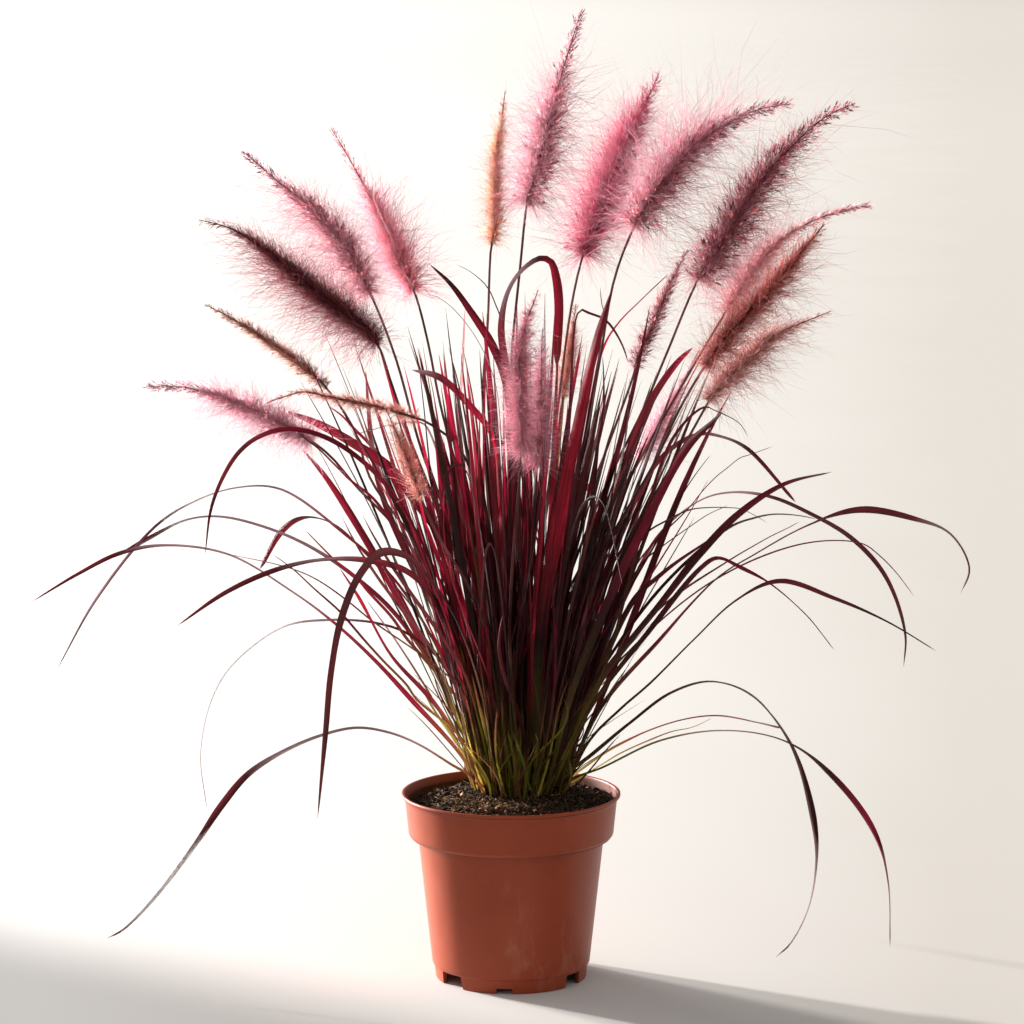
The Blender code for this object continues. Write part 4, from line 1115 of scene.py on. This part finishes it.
def blade_from_route(build, path, marks, shown, letters, number, draw, rings=LEAF_STEPS, sides=8):
    """A blade whose shown width is met by turning it, so that it stays a whole, tapering blade."""
    shares = np.linspace(0, 1, rings)
    middle = along(path, shares)
    shown = np.interp(shares, marks, shown)
    shown = softened(shown)
    full = shown.max() * LEAF_REAL_WIDTH
    taper = np.interp(shares, (0, 0.10, 0.28, 0.5, 0.8, 0.92, 0.98, 1),
                      (0.42, 0.5, 0.8, 1, 0.9, 0.6, 0.25, 0.04))
    real = np.minimum(full, np.maximum(full * taper, shown * 1.04))
    real *= np.interp(shares, (0.985, 1), (1, 0.1))
    turns = np.arcsin(np.clip(shown / np.maximum(real, 1e-6), 0.12, 0.985))
    turns = softened(turns) * (-1 if number in TURNED_OVER else 1)
    blade(build, middle, real, turns, blade_colours(letters, marks, shares, draw), number, sides=sides)


def leaves(look):
    """The long separate leaves, each one piece."""
    draw = np.random.default_rng(3)
    for number, leaf in enumerate(LEAVES + ROUND_LEAVES, 1):
        if number <= len(LEAVES):
            depth, route, shown, letters = leaf
            path, marks = seen_route(route, depth, LEAVES_ON_CROWN[number % 2])
            shown = np.array([min(shown[0], LEAF_ROOT_WIDTH), *shown]) * MM
        else:
            bearing, reach, top, tip, width, letters = leaf
            path = arched_route(bearing, reach, top, tip, LEAVES_ON_CROWN[number % 2])
            marks = ROUND_MARKS
            shown = np.array(ROUND_WIDTHS) * width * MM
        build = Build()
        blade_from_route(build, path, marks, shown, "g" + letters, number, draw)
        build.piece(f"blade_{number:02d}", look, [f"leaf_{number:02d}"], sharp=SHARP_ANGLE)


def strays(look):
    """The single blades that are too thin to be solids in the part."""
    draw = np.random.default_rng(8)
    build = Build()
    for number, (depth, width, letters, route) in enumerate(STRAYS):
        path, _ = seen_route(route, depth, STRAYS_ON_CROWN)
        marks = np.linspace(0, 1, len(letters))
        shown = np.full(len(letters), width * MM)
        shown[-1] *= 0.3
        blade_from_route(build, path, marks, shown, letters, 60 + number, draw, rings=STRAY_STEPS,
                         sides=4)
    build.piece("stray_blades", look, sharp=SHARP_ANGLE)


def inner_path(draw, root, lean, height):
    """A blade that leaves the crown and leans out, bending a little more towards its tip."""
    bend = draw.uniform(0.75, 1.35)
    shares = np.linspace(0, 1, INNER_STEPS)
    out = lean[None] * (shares[:, None] * 0.72 + 0.28 * shares[:, None] ** 2 * bend) * height
    sway = draw.normal(0, 0.0065, 2)[None] * np.sin(shares * math.pi * draw.uniform(0.8, 2.0))[:, None]
    return np.column_stack([root[:2] + out + sway, root[2] - 3 * MM + (height + 3 * MM) * shares])


def inner_tints(draw, path, letters, green):
    """Green at the foot up to the height green, then the second colour, then the third."""
    heights = (green, green + 0.035, green + 0.08)
    return between(path[:, 2], heights, letter_tones(letters) * draw.uniform(0.68, 1.95))


def crown_pad(build, draw):
    """The rough pad that everything grows from."""
    rings = []
    angles = -np.arange(PAD_SIDES) * 2 * math.pi / PAD_SIDES
    for ring in PAD_RINGS:
        height = crown_height(ring) - 0.6 * MM + draw.normal(0, PAD_ROUGHNESS, PAD_SIDES)
        if ring == 1:
            height = np.full(PAD_SIDES, MOUND_HEIGHT + GAP - 1.5 * MM)
        rings.append(np.column_stack([CROWN_MIDDLE[0] + CROWN_HALF[0] * ring * np.cos(angles),
                                      CROWN_MIDDLE[1] + CROWN_HALF[1] * ring * np.sin(angles), height]))
    build.loft(np.array(rings), CROWN_PAD, (0.0, 0.5, 3.0))


def tuft(look):
    """The crown's pad with the short sheaths and the many blades that stand close on it."""
    draw = np.random.default_rng(17)
    build = Build()
    crown_pad(build, draw)
    middle, half = np.array(CROWN_MIDDLE), np.array(CROWN_HALF)
    kinds = [kind for kind, (count, *_) in INNER_KINDS.items() for _ in range(count)]
    for number, kind in enumerate(kinds):
        _, spread, (low, high), thick = INNER_KINDS[kind]
        angle = draw.uniform(0, 2 * math.pi)
        spot = math.sqrt(draw.uniform(0.02, 0.98)) * spread
        unit = np.array([math.cos(angle), math.sin(angle)]) * spot
        root = np.array([*(middle + unit * half), crown_height(spot)])
        short = kind in ("sheath", "dry")
        tall = 0.0 if short else draw.beta(1.5, 1.1)
        height = low + (high - low) * (draw.uniform() if short else tall)
        lean = unit * draw.uniform(0.22, 0.60) * (1.1 - 0.42 * tall) + draw.normal(0, 0.07, 2)
        if kind == "dry":
            lean = unit * 0.5 + draw.normal(0, 0.45, 2)
        green = draw.uniform(0.172, 0.205) - 0.016 * lean[0] / 0.3
        if short:
            width = draw.uniform(*SHEATH_WIDTH) * (1.0 if kind == "sheath" else DRY_WIDTH_SHARE)
            letters = str(draw.choice(SHEATH_COLOURS)) if kind == "sheath" else "tst"
        else:
            width = draw.choice(INNER_WIDTHS[kind]) * MM * draw.uniform(0.85, 1.1) * (0.92 + 0.24 * tall)
            # Blades leaning left, towards the lights, get painted sunlit tops that are redder, as if lit
            # through
            painted_sunlit = lean[0] < 0 and draw.uniform() < 0.45
            foot = str(draw.choice(INNER_FEET))
            letters = foot + str(draw.choice(list(INNER_PAINTED_SUNLIT_TOPS if painted_sunlit else INNER_TOPS)))
            if draw.uniform() < 0.01:
                letters = "tto"
        path = inner_path(draw, root, lean, height)
        shares = np.linspace(0, 1, len(path))
        taper = np.interp(shares, INNER_MARKS, SHORT_OUTLINE if short else BLADE_OUTLINE)
        twist = draw.uniform(-1.4, 1.4) + draw.normal(0, 0.6) * shares
        # Sheaths in front are tinted lighter: painted light on the front of the crown's foot
        painted_lighter_front_sheath = kind == "sheath" and unit[1] < 0
        tints = inner_tints(draw, path, letters, green) * (1.3 if painted_lighter_front_sheath else 1.0)
        blade(build, path, width * taper, twist, tints, number, thick=thick, sides=4)
    build.piece("crown_and_inner_blades", look, ["tuft"], sharp=SHARP_ANGLE)


def spikelets(build, draw, roots, directions, lengths, radii, tints):
    """Small pointed grains, each an eight-faced spindle."""
    count = len(roots)
    one, two = sides_of(directions)
    belly = roots + directions * (lengths * 0.42)[:, None]
    points = [belly + (one * math.cos(a) + two * math.sin(a)) * radii[:, None]
              for a in (0, math.pi / 2, math.pi, 3 * math.pi / 2)]
    points += [roots + directions * lengths[:, None], roots]
    places = np.column_stack([np.zeros(count), np.zeros(count), draw.uniform(0, 40, count)])
    build.add_many(np.stack(points, axis=1), [], EIGHT_FACES, tints[:, None], places[:, None])


def plume_start_share(stalk, plume):
    """The share of a flower stem's length at which its plume starts."""
    route = np.array(stalk + plume)
    steps = np.linalg.norm(np.diff(route, axis=0), axis=1)
    base = route[0][1] - MOUND_HEIGHT / MM
    return (base + steps[:len(stalk) - 1].sum()) / (base + steps.sum())


class Plume:
    """A plume's look, and the path and frame that its bristles stand in, by share of its length."""

    def __init__(self, number, path, start, draw):
        half, reach, heart, body, hair, self.angle, self.parted, thin_tip, lean = PLUMES[number - 1]
        self.half, self.reach = half * MM, reach * MM
        self.heart, self.body, self.hair = tone(heart) * BODY_LIFT, tone(body) * BODY_LIFT, tone(hair)
        self.side = np.array([lean[0], 0.0, lean[1]])
        self.grid = np.linspace(0, 1, 60)
        start -= PLUME_DROPS.get(number, USUAL_DROP) * MM / length_of(path)
        line = along(path, start + (1 - start) * self.grid)
        self.fields = (line, *frames(line))
        self.span = length_of(line)
        self.end = 1 - thin_tip
        self.draw = draw
        self.clumps = draw.uniform(0, 1, (int(self.span / CLUMP_LENGTH) + 2, CLUMPS_AROUND))

    def fullness(self, where):
        """How full the plume is there: blunt at its foot, a thin spike at its tip."""
        return np.interp(where, (0, 0.05, 0.16, self.end * 0.6, self.end, 1),
                         (0.74, 0.92, 1.0, 0.84, 0.46, 0.16))

    def cover(self, where):
        """How closely bristles stand there: hardly any on the thin tip."""
        return np.interp(where, (0, 0.03, self.end * 0.8, self.end, min(0.98, self.end + 0.12), 1),
                         (0.5, 1.0, 1.0, 0.55, 0.12, 0.05))

    def spread_along(self, count, power):
        """Shares of the plume for this many bristles, closer together where it is fuller."""
        weight = np.cumsum(self.fullness(self.grid) ** power * self.cover(self.grid))
        share = self.draw.uniform(weight[0], weight[-1], count)
        return np.interp(share, weight, self.grid)

    def outward(self, where, angle, scatter):
        """Roots, directions and sideways directions of bristles at these shares, each at about
        this angle in degrees to the axis, wider at the plume's foot and narrower at its tip,
        with the sine of that angle, and a value from 0 to 1 that neighbours share."""
        point, way, one, two = [between(where, self.grid, field) for field in self.fields]
        spin = self.draw.uniform(0, 2 * math.pi, len(where))
        radial = one * np.cos(spin)[:, None] + two * np.sin(spin)[:, None]
        angle = angle + np.interp(where, (0, 0.12, self.end * 0.6, self.end, 1), (42, 6, 0, -9, -20))
        tilt = np.radians((angle + self.draw.normal(0, scatter, len(where))).clip(10, 125))[:, None]
        clump = self.clumps[(where * self.span / CLUMP_LENGTH).astype(int),
                            (spin / (2 * math.pi) * CLUMPS_AROUND).astype(int)]
        return point, way * np.cos(tilt) + radial * np.sin(tilt), radial, np.sin(tilt)[:, 0], clump


def stalk_and_thread(build, path, start, number):
    """The round stem up to the plume, and the thread that runs on up through it."""
    shares = np.concatenate([np.linspace(0, start, 34), np.linspace(start, 1, 26)[1:]])
    middle = along(path, shares)
    _, sides, normals = frames(middle)
    radius = np.interp(shares, (0, start * 0.5, start, 1), STEM_RADII)
    turn = np.arange(STEM_SIDES) * 2 * math.pi / STEM_SIDES
    rings = np.stack([middle + radius[:, None] * (sides * math.cos(a) - normals * math.sin(a))
                      for a in turn], axis=1)
    tints = between(middle[:, 2], STEM_COLOUR_HEIGHTS, letter_tones(STEM_COLOURS))
    run = np.repeat((shares * length_of(path))[:, None], STEM_SIDES, axis=1)
    places = np.stack([run, np.full_like(run, 0.5), np.full_like(run, number)], axis=-1)
    build.loft(rings, tints, places.reshape(-1, 3))


def spikelets_of(build, plume, draw):
    """Spikelets on fine stalks, each with a few bristles that spring from its foot."""
    parted, heart, body = plume.parted, plume.heart, plume.body
    count = int(plume.span / MM * (SPIKELETS_PER_MM[0] + SPIKELETS_PER_MM[1] * parted))
    where = (np.arange(count) + draw.uniform(0, 1, count)) / count * 0.99
    on_tip = (plume.end - 0.12, plume.end)
    where = where[draw.uniform(0, 1, count) < np.interp(where, on_tip, (1, TIP_SHARE_KEPT))]
    count = len(where)
    darker = np.interp(where, on_tip, (1, TIP_SHADE))[:, None]
    full = plume.fullness(where)
    point, direction, radial, _, clump = plume.outward(where, 44 + 8 * parted, 13)
    stand_off = plume.half * full * draw.uniform(0.05, 0.80, count) + 0.5 * MM
    size = draw.uniform(*SPIKELET_MM, count) * MM * (0.64 + 0.36 * full) * (0.7 + 0.56 * parted)
    root = point + radial * stand_off[:, None]
    tints = heart + (body - heart) * draw.uniform(-0.5, 1.3 + 0.4 * parted, (count, 1)).clip(0)
    tints = tints * draw.uniform(0.75, 1.75, (count, 1)) * darker
    spikelets(build, draw, root, direction, size, size * draw.uniform(*SPIKELET_SLIMNESS, count), tints)
    strands(build, draw, point, radial * stand_off[:, None], stand_off, np.full(count, BRISTLE_RADIUS),
            np.zeros((count, 3)), tints * 0.9, tints, rings=1)

    # The bristles from the spikelets' feet
    pick = np.repeat(np.arange(count), BRISTLES_PER_SPIKELET)
    count = len(pick)
    spray = direction[pick] + draw.normal(0, 0.30 + 0.32 * parted, (count, 3))
    length = size[pick] * draw.uniform(0.55, 1.75 - 0.35 * parted, count) * (0.30 + 0.70 * full[pick])
    shade = (0.45 + 1.1 * clump[pick, None]) * draw.uniform(0.7, 1.3, (count, 1)) * darker[pick]
    strands(build, draw, root[pick] - direction[pick] * MM, spray, length,
            np.full(count, SPRAY_RADIUS), draw.normal(0, 0.3, (count, 3)),
            (heart * 0.65 + body * 0.35) * shade, (heart * 0.25 + body * 0.75) * shade, rings=1)


def short_bristles_of(build, plume, draw):
    """The short dense bristles of the body."""
    parted, heart, body = plume.parted, plume.heart, plume.body
    density = BRISTLES_PER_MM[0] + BRISTLES_PER_MM[1] * parted
    count = int(plume.span / MM * density * plume.half / BRISTLES_FOR_HALF_WIDTH)
    where = plume.spread_along(count, 0.8)
    full = plume.fullness(where)
    point, direction, _, sine, clump = plume.outward(where, plume.angle, 12 + 8 * parted)
    clumped = 1 + (0.25 + 0.45 * parted) * (2 * clump - 1)
    length = plume.half * full * draw.uniform(0.45, 1.30, count) * clumped / sine.clip(0.5, 1) + 1.5 * MM
    shade = clumped[:, None] * draw.uniform(0.7, 1.3, (count, 1))
    mixed = draw.uniform(0.3, 1.0, (count, 1))
    bend = draw.normal(0, 0.10 + 0.12 * parted, (count, 3))
    strands(build, draw, point, direction, length, np.full(count, BRISTLE_RADIUS), bend,
            heart * shade, (heart + (body - heart) * mixed) * shade, rings=1)


def haze_of(build, plume, draw):
    """The haze about the body, and the long fine bristles that reach out of it."""
    beyond_body = plume.reach - plume.half
    for per_mm, fewer, low, high, power, radius, rings in HAIRS:
        share = min(1.3, beyond_body / HAIRS_FOR_REACH)
        count = int(plume.span / MM * per_mm * (1 - fewer * plume.parted) * share)
        where = plume.spread_along(count, power)
        full = plume.fullness(where)
        point, direction, radial, sine, clump = plume.outward(where, plume.angle + 14, 30)
        toward = (0.85 + 0.40 * (radial @ plume.side)).clip(0.3, 1.35)
        beyond = beyond_body * draw.uniform(low, high, count) * toward * (0.35 + 0.65 * full)
        beyond *= 0.7 + 0.6 * clump
        length = np.minimum((plume.half * full + beyond) / sine.clip(0.55, 1), HAIR_LONGEST * plume.reach)
        bend = draw.normal(0, HAIR_BEND, (count, 3)).clip(-HAIR_BEND_LIMIT, HAIR_BEND_LIMIT)
        bend = radial * 0.10 + bend + (0, 0, -0.08) + plume.side * 0.08
        wave = draw.normal(0, 0.11, (count, 3))
        shade = draw.uniform(0.7, 1.3, (count, 1))
        strands(build, draw, point, direction, length, np.full(count, radius * MM), bend,
                (plume.body * 0.4 + plume.hair * 0.6) * shade, plume.hair * shade, rings=rings,
                waves=wave)


def flower_stem(number, look, draw):
    """One stem and the plume that it carries."""
    depth, stalk, route = FLOWER_STEMS[number - 1]
    path, _ = seen_route(stalk + route, depth, STEMS_ON_CROWN[number % 3])
    start = plume_start_share(stalk, route)
    build = Build()
    stalk_and_thread(build, path, start, number)
    plume = Plume(number, path, start, draw)
    spikelets_of(build, plume, draw)
    short_bristles_of(build, plume, draw)
    haze_of(build, plume, draw)
    build.piece(f"plume_{number:02d}", look, [f"flower_stem_{number:02d}"])


def studio():
    """A wide pale floor, an even pale surround, low light from behind on the left, the camera."""
    bpy.ops.mesh.primitive_plane_add(size=FLOOR_SIZE, location=(0, 0, 0))
    floor = bpy.context.object
    floor.name = "studio_floor"
    floor.data.materials.append(floor_surface())

    world = bpy.data.worlds.new("surround")
    bpy.context.scene.world = world
    world.use_nodes = True
    sky = world.node_tree.nodes["Background"]
    sky.inputs["Color"].default_value = SKY
    sky.inputs["Strength"].default_value = SKY_STRENGTH

    for name, energy, angle, toward in SUNS:
        sun = bpy.data.lights.new(name, "SUN")
        sun.energy = energy
        sun.angle = math.radians(angle)
        sun.color = SUN_COLOUR
        aimed(sun, toward, (0, 0, 0))
    for name, size, energy, place, aim in GLOWS:
        glow = bpy.data.lights.new(name, "AREA")
        glow.shape = "DISK"
        glow.size = size
        glow.energy = energy
        glow.color = GLOW_COLOUR
        aimed(glow, place, aim)

    camera = bpy.data.cameras.new("photograph")
    camera.sensor_width = 36
    camera.lens = LENS
    camera.clip_end = 500
    bpy.context.scene.camera = aimed(camera, (CAMERA_ACROSS, -VIEW_DISTANCE, EYE_HEIGHT),
                                     (CAMERA_ACROSS, 0, AIM_HEIGHT))
    bpy.context.scene.view_settings.view_transform = "Standard"
    bpy.context.scene.view_settings.look = "None"


def aimed(data, place, aim):
    """A light or camera at a place, turned to look at another."""
    stand = add_object(data.name, data)
    stand.location = place
    stand.rotation_euler = (Vector(aim) - Vector(place)).to_track_quat("-Z", "Y").to_euler()
    return stand


def main():
    pot()
    peat = soil_surface()
    soil(peat)
    soil_litter(peat)
    grass = thin_surface("grass_blade", (1.25, 1.0, 1.15), 0.55, 0.47, 0.32, True)
    leaves(grass)
    strays(grass)
    tuft(grass)
    bristle = thin_surface("plume_bristle", (1.17, 1.23, 1.33), 0.60, 0.75, 0.2, False)
    draw = np.random.default_rng(41)
    for number in range(1, len(FLOWER_STEMS) + 1):
        flower_stem(number, bristle, draw)
    studio()


main()
